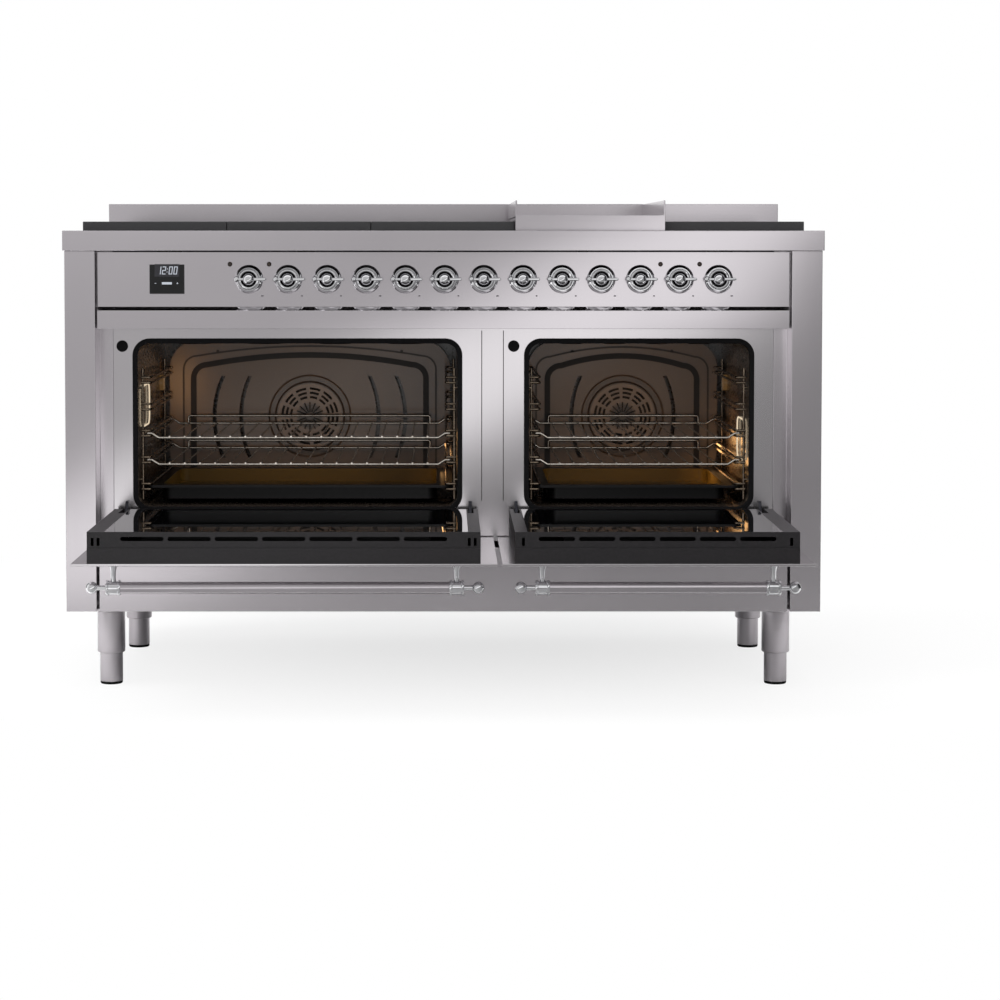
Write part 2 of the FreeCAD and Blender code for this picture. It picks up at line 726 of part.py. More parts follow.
def oven_cavity(side):
    """An enamelled box with a rounded mouth, open at the front."""
    first, last = opening_ends(side)
    front = depth(frame_plane) + gauge
    back = depth(cavity_back)
    low = opening_bottom
    high = opening_top
    corner = dim("opening_corner")
    outer = feature(f"{side}_cavity_outside", rounded_block(
        (first - gauge, front, low - gauge), (last + gauge, back + gauge, high + gauge), corner + gauge, "y"))
    inner = feature(f"{side}_cavity_inside", rounded_block(
        (first, front - over, low), (last, back, high), corner, "y"))
    shaft = rod(f"{side}_shaft_hole", (fan_place(side), back - over, fan_height),
                dim("motor_shaft_radius") + gauge, over + over + gauge, "y")
    wall, _ = lamp_wall(side)
    lamp = rod(f"{side}_lamp_hole", (wall - over, depth(oven_lamp_depth), oven_lamp_height),
               dim("oven_lamp_radius") - gauge, over + over, "x")
    hollow = cut(f"{side}_cavity_box", outer, [inner, shaft, lamp])
    return finish_node(hollow, f"{side}_oven_cavity")


def slot_block(name, low, high, axis):
    """A slot with round ends, longer along the first of its two ways."""
    height = float(sized(high[2])) - float(sized(low[2]))
    width = float(sized(high[0])) - float(sized(low[0]))
    return feature(name, rounded_block(low, high, min(height, width) * float(dim("slot_end_share")), axis))


def bowed_slot(name, x, way, y, run):
    """A slot bowed outwards, cut as a band between two arcs."""
    width = float(dim("cover_slot_width"))
    bow = float(dim("cover_slot_bow")) * way
    low = float(fan_height - dim("cover_slot_drop"))
    high = float(fan_height + dim("cover_slot_rise"))
    middle = (low + high) / 2
    x = float(x)
    y = float(y)

    def spot(across, z):
        return vector(x + across, y, z)

    inner = Part.Arc(spot(-bow, low), spot(0, middle), spot(-bow, high)).toShape()
    outer = Part.Arc(spot(-bow + width, high), spot(width, middle), spot(-bow + width, low)).toShape()
    top = Part.LineSegment(spot(-bow, high), spot(-bow + width, high)).toShape()
    foot = Part.LineSegment(spot(-bow + width, low), spot(-bow, low)).toShape()
    face = Part.Face(Part.Wire([inner, top, outer, foot]))
    return feature(name, face.extrude(vector(0, float(run), 0)))


def fan_cover(side):
    """The stamped back plate of an oven, with a slotted rose before the fan and bowed side slots."""
    first, last = opening_ends(side)
    margin = dim("cover_margin")
    wall = dim("cover_gauge")
    front = depth(cover_plane)
    back = depth(cavity_back)
    low = opening_bottom + dim("cover_foot_margin")
    high = opening_top - margin
    corner = dim("cover_corner")
    left = first + margin
    right = last - margin
    shell = feature(f"{side}_cover_outside", rounded_block(
        (left, front, low), (right, back, high), corner, "y"))
    hollow = feature(f"{side}_cover_inside", rounded_block(
        (left + wall, front + wall, low + wall), (right - wall, back + over, high - wall),
        corner - wall, "y"))
    x = fan_place(side)
    start = front - wall
    hole = rod(f"{side}_rose_hole", (x, front - over, fan_height), dim("rose_radius"), over + over, "y")
    pressed = fused(f"{side}_cover_pressed", [
        cut(f"{side}_cover_shell", shell, [hollow, hole]), rose(side, x, front, wall)])
    offsets = {"left": ("left_slot_near", "left_slot_far"), "right": ("right_slot_near",)}[side]
    tools = rose_slots(side, x, start)
    for name in offsets:
        for way, edge in ((-1, x - dim(name) - dim("cover_slot_width")), (1, x + dim(name))):
            tools.append(bowed_slot(f"{side}_slot", edge, way, start, dim("cover_cut")))
    return cut(f"{side}_cover", pressed, tools)


def rose(side, x, front, wall):
    """A pressed ring groove round a slightly raised boss, revolved as one sheet."""
    rim = dim("rose_radius")
    boss = dim("rose_boss_radius")
    slope = dim("rose_slope")
    floor = front + dim("rose_groove")
    face = front - dim("rose_rise")
    lap = rim + dim("rose_lap")
    body = turned(f"{side}_rose", "XY_Plane", [
        (0, face), (boss, face), (boss + slope, floor), (rim - slope, floor), (rim, front), (lap, front),
        (lap, front + wall), (rim, front + wall), (rim - slope, floor + wall),
        (boss + slope, floor + wall), (boss, face + wall), (0, face + wall)])
    return move_to(body, (x, 0, fan_height))


def rose_slots(side, x, start):
    """Rings of short curved slots round a hub of narrow radial ones."""
    turns = count("rose_slots")
    pitch = 360 / turns
    span = pitch * float(dim("rose_slot_share"))
    run = float(dim("cover_cut"))
    back = vector(0, 1, 0)
    centre = vector(float(x), float(start), float(fan_height))
    shapes = []
    for ring in range(count("rose_rings")):
        inner = float(dim("rose_first_ring") + dim("rose_ring_step") * ring - dim("rose_slot_width") / 2)
        outer = inner + float(dim("rose_slot_width"))
        arc = Part.makeCylinder(outer, run, centre, back, span)
        arc = arc.cut(Part.makeCylinder(inner, run, centre, back, span))
        shapes += [turned_copy(arc, centre, pitch * number) for number in range(turns)]
    rays = count("rose_rays")
    half = dim("rose_ray_width") / 2
    ray = Part.makeBox(float(dim("rose_ray_length")), run, float(half + half),
                       centre + vector(float(dim("rose_ray_start")), 0, -float(half)))
    shapes += [turned_copy(ray, centre, 360 / rays * number) for number in range(rays)]
    return [feature(f"{side}_rose_slots", Part.makeCompound(shapes))]


def turned_copy(shape, centre, angle):
    other = shape.copy()
    other.rotate(centre, vector(0, 1, 0), angle)
    return other


def fan(side):
    """A convection fan: a disc with a hub and blades stood on its rim."""
    x = fan_place(side)
    front = depth(cavity_back - dim("fan_back_gap") - dim("fan_depth"))
    rim = dim("fan_radius")
    disc = dim("fan_disc")
    back = front + dim("fan_depth")
    bore = dim("motor_shaft_radius") + gap
    body = turned(f"{side}_fan_wheel", "XY_Plane", [
        (bore, front + dim("fan_hub_recess")), (dim("fan_hub_radius"), front + dim("fan_hub_recess")),
        (dim("fan_hub_radius"), back - disc), (rim, back - disc), (rim, back), (bore, back)])
    move_to(body, (x, 0, fan_height))
    total = count("fan_blades")
    sketch = new_sketch(body, "XZ_Plane", -(back - disc / 2))
    outline(sketch, rectangle((rim * dim("blade_start_share"), -disc / 2), (rim - disc, disc / 2)))
    doc.recompute()
    blade = pad(body, sketch, dim("fan_depth") - disc)
    pattern = body.newObject("PartDesign::PolarPattern", f"{side}_fan_blades")
    pattern.Originals = [blade]
    pattern.Axis = (plane_of(body, "Y_Axis"), [""])
    pattern.Angle = 360
    pattern.Occurrences = total
    body.Tip = pattern
    return finish_node(body, f"{side}_fan")


def fan_motors():
    """A motor behind each oven, its shaft reaching through the back wall into the fan."""
    pieces = []
    wall = depth(cavity_back) + gauge
    z = fan_height
    for side in ("left", "right"):
        x = fan_place(side)
        can = rod(f"{side}_motor_can", (x, wall, z), dim("motor_radius"), dim("motor_length"), "y")
        start = depth(cavity_back - dim("fan_back_gap") - dim("fan_depth"))
        shaft = rod(f"{side}_motor_shaft", (x, start, z), dim("motor_shaft_radius"),
                    wall - start + gauge, "y")
        pieces.append(fused(f"{side}_motor", [can, shaft]))
    return group("fan_motors", pieces)


def oven_elements():
    """A ring element round each fan and a folded grill element under each oven roof."""
    pieces = []
    tube = dim("element_tube")
    for side in ("left", "right"):
        first, last = opening_ends(side)
        back = depth(cavity_back)
        ring = Part.makeTorus(float(dim("element_radius")), float(tube))
        ring.rotate(vector(), vector(1, 0, 0), 90)
        y = back - dim("fan_back_gap") - dim("fan_depth") / 2
        x = fan_place(side)
        ring.translate(vector(float(x), float(y), float(fan_height)))
        tail = rod(f"{side}_element_tail", (x, y, fan_height - dim("element_radius")),
                   dim("element_tail"), back - y, "y")
        pieces.append(fused(f"{side}_fan_element", [feature(f"{side}_element_ring", ring), tail]))
        loops = count("grill_loops")
        left = first + dim("grill_margin")
        right = last - dim("grill_margin")
        step = (right - left) / (2 * loops - 1)
        front = depth(frame_plane + dim("grill_margin"))
        z = opening_top - dim("grill_drop")
        far = back - dim("grill_margin")
        points = []
        for number in range(2 * loops):
            ways = (far, front) if number % 2 == 0 else (front, far)
            points += [(left + step * number, way, z) for way in ways]
        points[0] = (left, back, z)
        points[-1] = (right, back, z)
        bend = step * dim("grill_bend_share")
        pieces.append(feature(f"{side}_grill_element", bent_wire(points, bend, tube)))
    return group("oven_elements", pieces)


def copies(name, master, places):
    """The same piece again at each place; the master stands at the origin."""
    doc.recompute()
    pieces = []
    for place in places:
        item = feature(name, master.Shape.copy())
        item.Placement = FreeCAD.Placement()
        pieces.append(move_to(item, place))
    return pieces


def rack_rails():
    """A wire ladder on each side wall: posts near the wall carry a pair of bent wires for each level."""
    pieces = []
    wire = dim("wire_radius")
    front = depth(dim("ladder_front"))
    back = depth(cover_plane - dim("ladder_back_gap"))
    low = opening_bottom + dim("ladder_foot_gap")
    high = opening_top - dim("ladder_head")
    half_gap = dim("ladder_gap") / 2 + wire
    past = dim("ladder_overhang")
    for side in ("left", "right"):
        first, last = opening_ends(side)
        for wall, way in ((first, 1), (last, -1)):
            x = wall + dim("ladder_inset") * way
            post_x = x - dim("ladder_post_step") * way
            rods = []
            for y in (front, back):
                rods.append(rod("ladder_post", (post_x, y, low), wire, high - low, "z"))
                for z in (low + dim("ladder_mount"), high - dim("ladder_mount")):
                    start = wall if way == 1 else post_x
                    rods.append(rod("ladder_mount", (start, y, z), wire,
                                    dim("ladder_inset") - dim("ladder_post_step"), "x"))
            end = post_x - wire * way
            for level in range(count("ladder_levels")):
                for offset in (-half_gap, half_gap):
                    z = ladder_bottom + dim("ladder_pitch") * level + offset
                    route = [(end, front - past, z), (x, front - past, z), (x, back + past, z),
                             (end, back + past, z)]
                    rods.append(feature("ladder_wire", bent_wire(route, dim("ladder_bend"), wire)))
            pieces.append(fused(f"{side}_ladder", rods))
    return group("rack_rails", pieces)


def wing_ends(side):
    first, last = opening_ends(side)
    post = dim("ladder_inset") - dim("ladder_post_step") + dim("wire_radius")
    inset = post + dim("rack_bar_radius") + dim("wing_clearance")
    return first + inset, last - inset


def rack(side, level, label):
    """A wire rack: side wings in the rails, a dropped deck of wires and a raised bar at the back."""
    left, right = wing_ends(side)
    z = ladder_bottom + dim("ladder_pitch") * level
    deck = z - dim("rack_step")
    front = depth(dim("rack_front"))
    back = depth(rack_back)
    middle = (front + back) / 2
    shoulder = dim("rack_shoulder")
    bar = dim("rack_bar_radius")
    bend = dim("rack_bend")
    wing = dim("rack_wing")
    deck_left = left + wing + shoulder
    deck_right = right - wing - shoulder
    parts = []
    for end in (front, back):
        loop = [(left, middle, z), (left, end, z), (left + wing, end, z), (deck_left, end, deck),
                (deck_right, end, deck), (right - wing, end, z), (right, end, z), (right, middle, z)]
        parts.append(feature("rack_loop", bent_wire(loop, bend, bar)))
    inner_left = left + dim("rack_rear_inset")
    inner_right = right - dim("rack_rear_inset")
    high = deck + dim("rack_rear_rise")
    guard = [(inner_left, back, deck), (inner_left, back, high), (inner_right, back, high),
             (inner_right, back, deck)]
    parts.append(feature("rack_guard", bent_wire(guard, bend, bar)))
    pitch = dim(f"{side}_rack_pitch")
    total = int(float(deck_right - deck_left) / float(pitch))
    wire = dim("rack_wire_radius")
    for number in range(total):
        x = (left + right) / 2 + pitch * (number - (total - 1) / 2)
        parts.append(rod("rack_wire", (x, front - bar, deck + bar), wire, back - front + bar + bar, "y"))
    return finish_node(fused(label, parts), label)


def tray(side):
    """A pressed enamel tray whose rolled rim runs in the lowest pair of rails."""
    left, right = wing_ends(side)
    rim_half = dim("ladder_gap") / 2 - gap
    z = ladder_bottom
    edge = dim("rack_bar_radius")
    front = depth(dim("rack_front"))
    back = depth(rack_back)
    wall = dim("tray_wall_inset")
    thick = dim("tray_gauge")
    corner = dim("tray_corner")
    low = (left + wall, front + wall)
    high = (right - wall, back - wall)
    rim = feature(f"{side}_tray_rim", rounded_block((left - edge, front - edge, z - rim_half),
                                                    (right + edge, back, z + rim_half), corner, "z"))
    floor = opening_bottom + dim("tray_clear")
    basin = feature(f"{side}_tray_basin", rounded_block((*low, floor), (*high, z + rim_half), corner, "z"))
    hollow = feature(f"{side}_tray_hollow", rounded_block(
        (low[0] + thick, low[1] + thick, floor + thick),
        (high[0] - thick, high[1] - thick, z + rim_half + over), corner - thick, "z"))
    under = feature(f"{side}_tray_under", rounded_block(
        (left - edge + thick, front - edge + thick, z - rim_half - over),
        (right + edge - thick, back - thick, z + rim_half - thick), corner - thick, "z"))
    folded = cut(f"{side}_tray_fold", rim, [under])
    return finish_node(cut(f"{side}_tray_cut", fused(f"{side}_tray_joined", [folded, basin]), [hollow]),
                       f"{side}_tray")


def skin_ends(side):
    """The doors run from the pillars to a gap between them."""
    outer = pillar_inner - dim("door_side_gap")
    half_gap = dim("doors_gap") / 2
    meet = dim("doors_meet")
    return {"left": (-outer, meet - half_gap), "right": (meet + half_gap, outer)}[side]


def liner_ends(side):
    start, end = skin_ends(side)
    outer = dim("liner_side")
    inner = dim(f"{side}_liner_inner")
    return {"left": (start + outer, end - inner), "right": (start + inner, end - outer)}[side]


def window_corners(side, lap):
    """The window in the door, grown all round by a lap."""
    start, end = liner_ends(side)
    left = start + dim("window_side") - lap
    right = end - dim("window_side") + lap
    low = door_front + dim("window_top") - lap
    high = hinge_y - dim("window_foot") + lap
    return (left, low), (right, high)


def door_skin(side):
    """The bright outer sheet of a door with its window opening, lying face down."""
    start, end = skin_ends(side)
    label = f"{side}_door_skin"
    body = new_body(f"{label}_sheet")
    sketch = new_sketch(body, "XY_Plane", skin_bottom)
    outline(sketch, rectangle((start, door_front), (end, hinge_y + dim("door_tail"))))
    pad(body, sketch, dim("skin_gauge"))
    low = float(skin_bottom)

    def outer_edge(edge):
        return all(abs(v.Z - low) < same for v in edge.Vertexes)

    round_edges(body, dim("skin_round"), outer_edge)
    near, far = window_corners(side, 0)
    hole = feature(f"{side}_skin_window", rounded_block((*near, skin_bottom - over), (*far, skin_top + over),
                                                        dim("window_corner"), "z"))
    return finish_node(cut(f"{label}_cut", body, [hole]), label)


def door_liner(side):
    """The black inner frame of a door in two tiers, with vent slots in its top edge."""
    start, end = liner_ends(side)
    lower = box(f"{side}_liner_lower", (start, door_front + dim("tier_inset"), skin_top),
                (end, hinge_y + dim("door_tail") - dim("skin_gauge") / 2, tier_z))
    front = door_front + dim("liner_inset")
    upper = box(f"{side}_liner_upper", (start, front, tier_z), (end, hinge_y + dim("liner_tail"), door_top))
    near, far = window_corners(side, dim("window_lap") + gap)
    tools = [feature(f"{side}_liner_hollow", rounded_block(
        (*near, skin_top - over), (*far, door_top + over), dim("window_corner") + dim("window_lap"), "z"))]
    glass_near, glass_far = glass_corners(side, gap)
    tools.append(box(f"{side}_glass_seat", (*glass_near, door_top - dim("glass_gauge")),
                     (*glass_far, door_top + over)))
    height = dim("vent_height") / 2
    z = hinge_z + dim("vent_rise")
    reach = dim(f"{side}_slot_length") / 2
    total = count(f"{side}_slots")
    for number in range(total):
        x = (start + end) / 2 + dim(f"{side}_slot_pitch") * (number - (total - 1) / 2)
        tools.append(slot_block(f"{side}_vent", (x - reach, front - over, z - height),
                                (x + reach, front + dim("vent_reach"), z + height), "y"))
    tools += side_slots(side, front)
    half_notch = dim("hinge_notch") / 2
    for x in hinge_places(side):
        tools.append(box(f"{side}_hinge_notch", (x - half_notch, hinge_y - dim("hinge_reach") - gauge,
                                                 hinge_z - dim("hinge_notch_depth")),
                         (x + half_notch, hinge_y + dim("door_tail") + over, door_top + over)))
        bore = dim("hinge_pin_length") / 2 + gap
        tools.append(rod(f"{side}_pin_bore", (x - bore, hinge_y, hinge_z), dim("hinge_pin") + gap,
                         bore + bore, "x"))
    wall = dim("liner_wall")
    shell_near = (start + wall, front + wall, skin_top - over)
    shell_far = (end - wall, hinge_y + dim("liner_tail") - wall, door_top - dim("glass_gauge") - wall)
    keep_near, keep_far = window_corners(side, dim("window_lap") + gap + wall)
    kept = [box(f"{side}_window_wall", (*keep_near, skin_top - over), (*keep_far, door_top))]
    for x in hinge_places(side):
        cheek = half_notch + dim("hinge_cheek")
        root = hinge_y - dim("hinge_reach") - gauge - wall
        tail = hinge_y + dim("hinge_block_tail")
        kept.append(box(f"{side}_hinge_block", (x - cheek, root, skin_top - over),
                        (x + cheek, tail, door_top)))
    ring = box(f"{side}_liner_hollow_box", shell_near, shell_far)
    tools.append(cut(f"{side}_liner_hollow_ring", ring, kept))
    joined = fused(f"{side}_liner_tiers", [lower, upper])
    return finish_node(cut(f"{side}_liner_cut", joined, tools), f"{side}_door_liner")


def side_slots(side, front):
    """Small upright slots beyond the vent slots: pairs on the wide door, single ones on the other."""
    half = dim("side_slot_width") / 2
    low = hinge_z + dim("side_slot_rise")
    start, end = liner_ends(side)
    apart = dim("side_slot_step") / 2
    tools = []
    for middle in (start + dim("side_slot_inset"), end - dim("side_slot_inset")):
        for x in {"left": [middle - apart, middle + apart], "right": [middle]}[side]:
            tools.append(box(f"{side}_side_slot", (x - half, front - over, low),
                             (x + half, front + dim("vent_reach"), low + dim("side_slot_height"))))
    return tools


def glass_corners(side, clearance):
    start, end = liner_ends(side)
    outer = dim("glass_side") - clearance
    inner = dim("glass_inner") - clearance
    left, right = {"left": (outer, inner), "right": (inner, outer)}[side]
    near = (start + left, door_front + dim("glass_seat") - clearance)
    far = (end - right, hinge_y + dim("liner_tail") / 2 + clearance)
    return near, far


def door_glass(side):
    near, far = glass_corners(side, 0)
    label = f"{side}_door_glass"
    pane = feature(f"{label}_pane", rounded_block((*near, door_top - dim("glass_gauge")), (*far, door_top),
                                                  dim("glass_gauge"), "z"))
    return finish_node(pane, label)


def door_window(side):
    """The outer pane, bedded on the inside of the skin round its opening."""
    near, far = window_corners(side, dim("window_lap"))
    label = f"{side}_door_window"
    pane = feature(f"{label}_pane", rounded_block((*near, skin_top), (*far, skin_top + dim("glass_gauge")),
                                                  dim("window_corner") + dim("window_lap"), "z"))
    return finish_node(pane, label)


def ball(name, place, radius):
    item = doc.addObject("Part::Sphere", name)
    bind(item, "Radius", radius)
    return move_to(item, place)


def door_handle(side):
    """A round bar on two posts, with collars, thin necks and ball ends."""
    first, last = skin_ends(side)
    near, far = {"left": ("outer", "inner"), "right": ("inner", "outer")}[side]
    start = first + dim(f"handle_{near}")
    end = last - dim(f"handle_{far}")
    radius = dim("handle_radius")
    y = door_front + dim("handle_inset")
    z = skin_bottom - dim("handle_drop")
    neck = dim("neck_length")
    collar = dim("collar_length")
    first = start + radius + radius + neck
    last = end - radius - radius - neck - collar
    parts = [rod("handle_bar", (first, y, z), radius, last + collar - first, "x")]
    for x in (first, last):
        parts.append(rod("handle_collar", (x, y, z), dim("collar_radius"), collar, "x"))
        middle = x + collar / 2
        parts.append(rod("handle_post", (middle, y, z), dim("post_radius"), dim("handle_drop"), "z"))
        foot = dim("post_foot_height")
        parts.append(rod("handle_foot", (middle, y, skin_bottom - foot), dim("post_foot_radius"), foot, "z"))
    for x, way in ((start + radius, 1), (end - radius, -1)):
        parts.append(ball("handle_ball", (x, y, z), radius))
        low = x if way == 1 else x - radius - neck
        parts.append(rod("handle_neck", (low, y, z), dim("neck_radius"), radius + neck, "x"))
    return finish_node(fused(f"{side}_handle_joined", parts), f"{side}_door_handle")


def hinge_arms():
    """Claws that stand out from the oven fronts and carry the door pins."""
    half = dim("hinge_gauge") / 2
    boss = dim("hinge_boss")
    plane = depth(frame_plane)
    section = [(hinge_y - boss / 2, hinge_z - boss / 2), (hinge_y + boss / 2, hinge_z - boss / 2),
               (plane, hinge_z + dim("hinge_claw_foot")), (plane, hinge_z + dim("hinge_claw_top")),
               (plane - boss, hinge_z + dim("hinge_claw_top")), (hinge_y - boss / 2, hinge_z + boss / 2)]
    pieces = []
    for side in ("left", "right"):
        for x in hinge_places(side):
            arm = prism(f"{side}_hinge_claw", "YZ_Plane", section, x - half, half + half)
            eye = rod(f"{side}_hinge_eye", (x - half, hinge_y, hinge_z), boss, half + half, "x")
            length = dim("hinge_pin_length")
            pin = rod(f"{side}_hinge_pin", (x - length / 2, hinge_y, hinge_z), dim("hinge_pin"), length, "x")
            pieces.append(fused(f"{side}_hinge_arm", [arm, eye, pin]))
    return group("hinge_arms", pieces)


def knob_bezels():
    """A stepped bright ring behind each knob."""
    face = depth(dim("panel_setback"))
    step = dim("bezel_step")
    rim = dim("bezel_radius")
    dish = dim("bezel_inner_radius")
    bore = dim("spindle_radius") + dim("spindle_clearance")
    front = face - dim("bezel_depth")
    master = turned("bezel_ring", "XY_Plane", [
        (bore, face), (rim, face), (rim, front + step), (rim - step, front), (dish, front),
        (dish, front + step), (bore, front + step)])
    return group("knob_bezels", copies("knob_bezel", master, knob_spots()))


def knob_spots():
    return [(x, 0, knob_height) for x in knob_places()]


def knob_back():
    return depth(dim("panel_setback")) - dim("bezel_depth") + dim("bezel_step") - gap


def knob(number, place):
    """A domed knob with a lever bar, bored for its spindle."""
    label = f"knob_{number:02d}"
    back = knob_back()
    front = back - dim("knob_depth")
    radius = dim("knob_radius")
    bore = dim("spindle_radius") + gap
    floor = back - dim("knob_bore_depth")
    crown = front - dim("knob_crown")
    skirt = dim("knob_skirt")
    shoulder = radius * dim("crown_shoulder_share")
    body = turned(f"{label}_turning", "XY_Plane", [
        (bore, back), (radius + skirt / 2, back), (radius + skirt / 2, back - skirt), (radius, back - skirt),
        (radius, front), (shoulder, crown + skirt / 2), (radius * dim("crown_top_share"), crown), (0, crown),
        (0, floor), (bore, floor)])
    start = depth(dim("panel_setback")) - dim("bezel_depth") - dim("lever_standoff")
    sketch = new_sketch(body, "XZ_Plane", -start)
    half = dim("lever_width") / 2
    reach = dim("lever_reach")
    tail = dim("lever_tail")
    taper = half * dim("lever_taper_share")
    outline(sketch, [(-tail, -half), (0, -half), (reach, -taper), (reach, taper), (0, half), (-tail, half)])
    doc.recompute()
    pad(body, sketch, dim("lever_height"))
    end_x = (float(reach), -float(tail))

    def end_edge(edge):
        first, last = edge.Vertexes[0].Point, edge.Vertexes[-1].Point
        upright = abs(first.x - last.x) < same and abs(first.z - last.z) < same
        return upright and any(abs(first.x - x) < same for x in end_x)

    round_edges(body, dim("lever_round"), end_edge)
    hollow = new_sketch(body, "XZ_Plane", -back)
    circle(hollow, (0, 0), bore)
    pocket(body, hollow, dim("knob_bore_depth"), back=True)
    return finish_node(move_to(body, place), label)


def clock_module():
    """The clock: a glass-fronted box in the control panel."""
    face = depth(dim("panel_setback"))
    low, high = clock_corners(0)
    case = box("clock_case", (low[0], face, low[1]), (high[0], face + dim("clock_depth"), high[1]))
    lip = dim("bezel_step") / 2
    front = box("clock_front", (low[0] - lip, face - dim("clock_proud"), low[1] - lip),
                (high[0] + lip, face, high[1] + lip))
    return finish_node(fused("clock_joined", [case, front]), "clock_module")


def indicator_lamps():
    face = depth(dim("panel_setback"))
    radius = dim("lamp_radius")
    proud = dim("lamp_proud")
    back = face + dim("lamp_body")
    stem = radius * dim("lamp_stem_share")
    master = turned("lamp_lens", "XY_Plane", [
        (0, back), (stem, back), (stem, face), (radius, face), (radius, face - proud / 2),
        (radius / 2, face - proud), (0, face - proud)])
    spots = [(x, 0, lamp_height) for x in lamp_places()]
    return group("indicator_lamps", copies("lamp", master, spots))


def leg_spots():
    half = body_half - dim("leg_inset")
    back = body_back - dim("leg_back_gap")
    return [(x, depth(y), 0) for y in (dim("leg_front"), back) for x in (-half, half)]


def legs():
    """Four legs: a fixed sleeve under the body, a tube screwed up inside it and a foot pad."""
    top = dim("body_bottom")
    sleeve = dim("sleeve_radius")
    tube = dim("tube_radius")
    foot = dim("pad_height")
    flange = dim("leg_flange")
    master = turned("leg_sleeve", "XZ_Plane", [
        (0, foot), (tube, foot), (tube, dim("sleeve_bottom")), (sleeve, dim("sleeve_bottom")),
        (sleeve, top - flange), (dim("leg_flange_radius"), top - flange), (dim("leg_flange_radius"), top),
        (0, top)])
    pads = turned("leg_pad", "XZ_Plane", [
        (0, 0), (dim("pad_radius"), 0), (tube, foot / 2), (tube, foot), (0, foot)])
    return group("legs", copies("leg", master, leg_spots()) + copies("pad", pads, leg_spots()))


def base_panel():
    """The floor sheet of the body, folded at front and back, notched round the pillars."""
    half = body_half - gauge - gap
    low = dim("body_bottom")
    front = depth(dim("base_front"))
    back = depth(body_back)
    high = low + dim("base_edge")
    section = [(front, low), (back, low), (back, high), (back - gauge, high), (back - gauge, low + gauge),
               (front + gauge, low + gauge), (front + gauge, high), (front, high)]
    sheet_piece = prism("base_fold", "YZ_Plane", section, -half, half + half)
    plane = depth(frame_plane) + gauge + gap
    notches = [box("pillar_notch", (start, front - over, low - over), (stop, plane, high + over))
               for start, stop in ((-half - over, -frame_end), (frame_end, half + over))]
    return finish_node(cut("base_notched", sheet_piece, notches), "base_panel")


def back_panel():
    """The rear sheet, with rows of vent slots and two holes for wall bolts."""
    half = body_half - gauge - gap
    face = depth(back_plane)
    low = dim("body_bottom") + gauge
    high = dim("worktop_height") - dim("lip_height") - gauge
    sheet_piece = box("back_sheet", (-half, face, low), (half, face + gauge, high))
    tools = []
    columns = count("vent_columns")
    for column in range(columns):
        x = dim("vent_column_pitch") * (column - (columns - 1) / 2)
        for line in range(count("vent_rows")):
            z = dim("vent_first_height") + dim("vent_slot_pitch") * line
            reach = dim("vent_slot_length") / 2
            tools.append(box("back_vent", (x - reach, face - over, z),
                             (x + reach, face + over, z + dim("vent_slot_width"))))
    for way in (-1, 1):
        x = (body_half - dim("wall_bolt_inset")) * way
        z = dim("worktop_height") - dim("wall_bolt_drop")
        tools.append(rod("wall_bolt_hole", (x, face - over, z),
                         dim("wall_bolt_radius"), over + over, "y"))
    x, z = inlet_spot()
    tools.append(rod("inlet_hole", (x, face - over, z), dim("inlet_radius") + gap, over + over, "y"))
    return finish_node(cut("back_sheet_cut", sheet_piece, tools), "back_panel")


def inlet_spot():
    return body_half - dim("inlet_inset"), knob_height


def control_valves():
    """The gas pipe with its nine valves and rear inlet, and the four oven switches."""
    face = depth(dim("panel_setback"))
    pipe_y = depth(dim("manifold_depth"))
    z = knob_height
    pipe = dim("manifold_radius")
    root = face + dim("spindle_root")
    tip = knob_back() - dim("knob_bore_depth") + gap
    gas = gas_places()
    x_end, _ = inlet_spot()
    inlet_y = depth(back_plane + dim("inlet_proud"))
    route = [(gas[0] - dim("manifold_overhang"), pipe_y, z), (x_end, pipe_y, z), (x_end, inlet_y, z)]
    parts = [feature("gas_pipe", bent_wire(route, dim("manifold_bend"), pipe)),
             rod("gas_union", (x_end, inlet_y - dim("inlet_length"), z), dim("inlet_radius"),
                 dim("inlet_length"), "y")]
    for x in gas:
        parts.append(rod("valve_body", (x, face + gauge, z), dim("valve_radius"), pipe_y - face - gauge, "y"))
        parts.append(rod("valve_spindle", (x, tip, z), dim("spindle_radius"), root - tip, "y"))
    pieces = [fused("gas_train", parts)]
    for x in oven_places():
        case = rod("switch_body", (x, face + gauge, z), dim("switch_radius"), dim("switch_depth"), "y")
        spindle = rod("switch_spindle", (x, tip, z), dim("spindle_radius"), root - tip, "y")
        pieces.append(fused("oven_switch", [case, spindle]))
    return group("control_valves", pieces)


def oven_lamps():
    """A round glass lamp cover on the outer side wall of each oven."""
    pieces = []
    for side in ("left", "right"):
        wall, way = lamp_wall(side)
        y = depth(oven_lamp_depth)
        z = oven_lamp_height
        lens = dim("oven_lamp_length")
        tail = dim("oven_lamp_tail")
        low = wall if way == 1 else wall - lens
        glass = rod(f"{side}_lamp_glass", (low, y, z), dim("oven_lamp_radius"), lens, "x")
        start = wall - tail if way == 1 else wall
        holder = rod(f"{side}_lamp_holder", (start, y, z), dim("oven_lamp_radius") - gauge - gap, tail, "x")
        pieces.append(fused(f"{side}_oven_lamp", [glass, holder]))
    return group("oven_lamps", pieces)


def lamp_wall(side):
    first, last = opening_ends(side)
    return (first, 1) if side == "left" else (last, -1)


def support_spans():
    """The four pan supports from left to right, with the griddle after the third."""
    start = support_start
    gap_between = dim("support_gap")
    total = count("supports_left")
    pitch = (griddle_start - start) / total
    spans = [(start + pitch * n, start + pitch * (n + 1) - gap_between) for n in range(total)]
    return spans + [(griddle_end + gap_between, -start)]


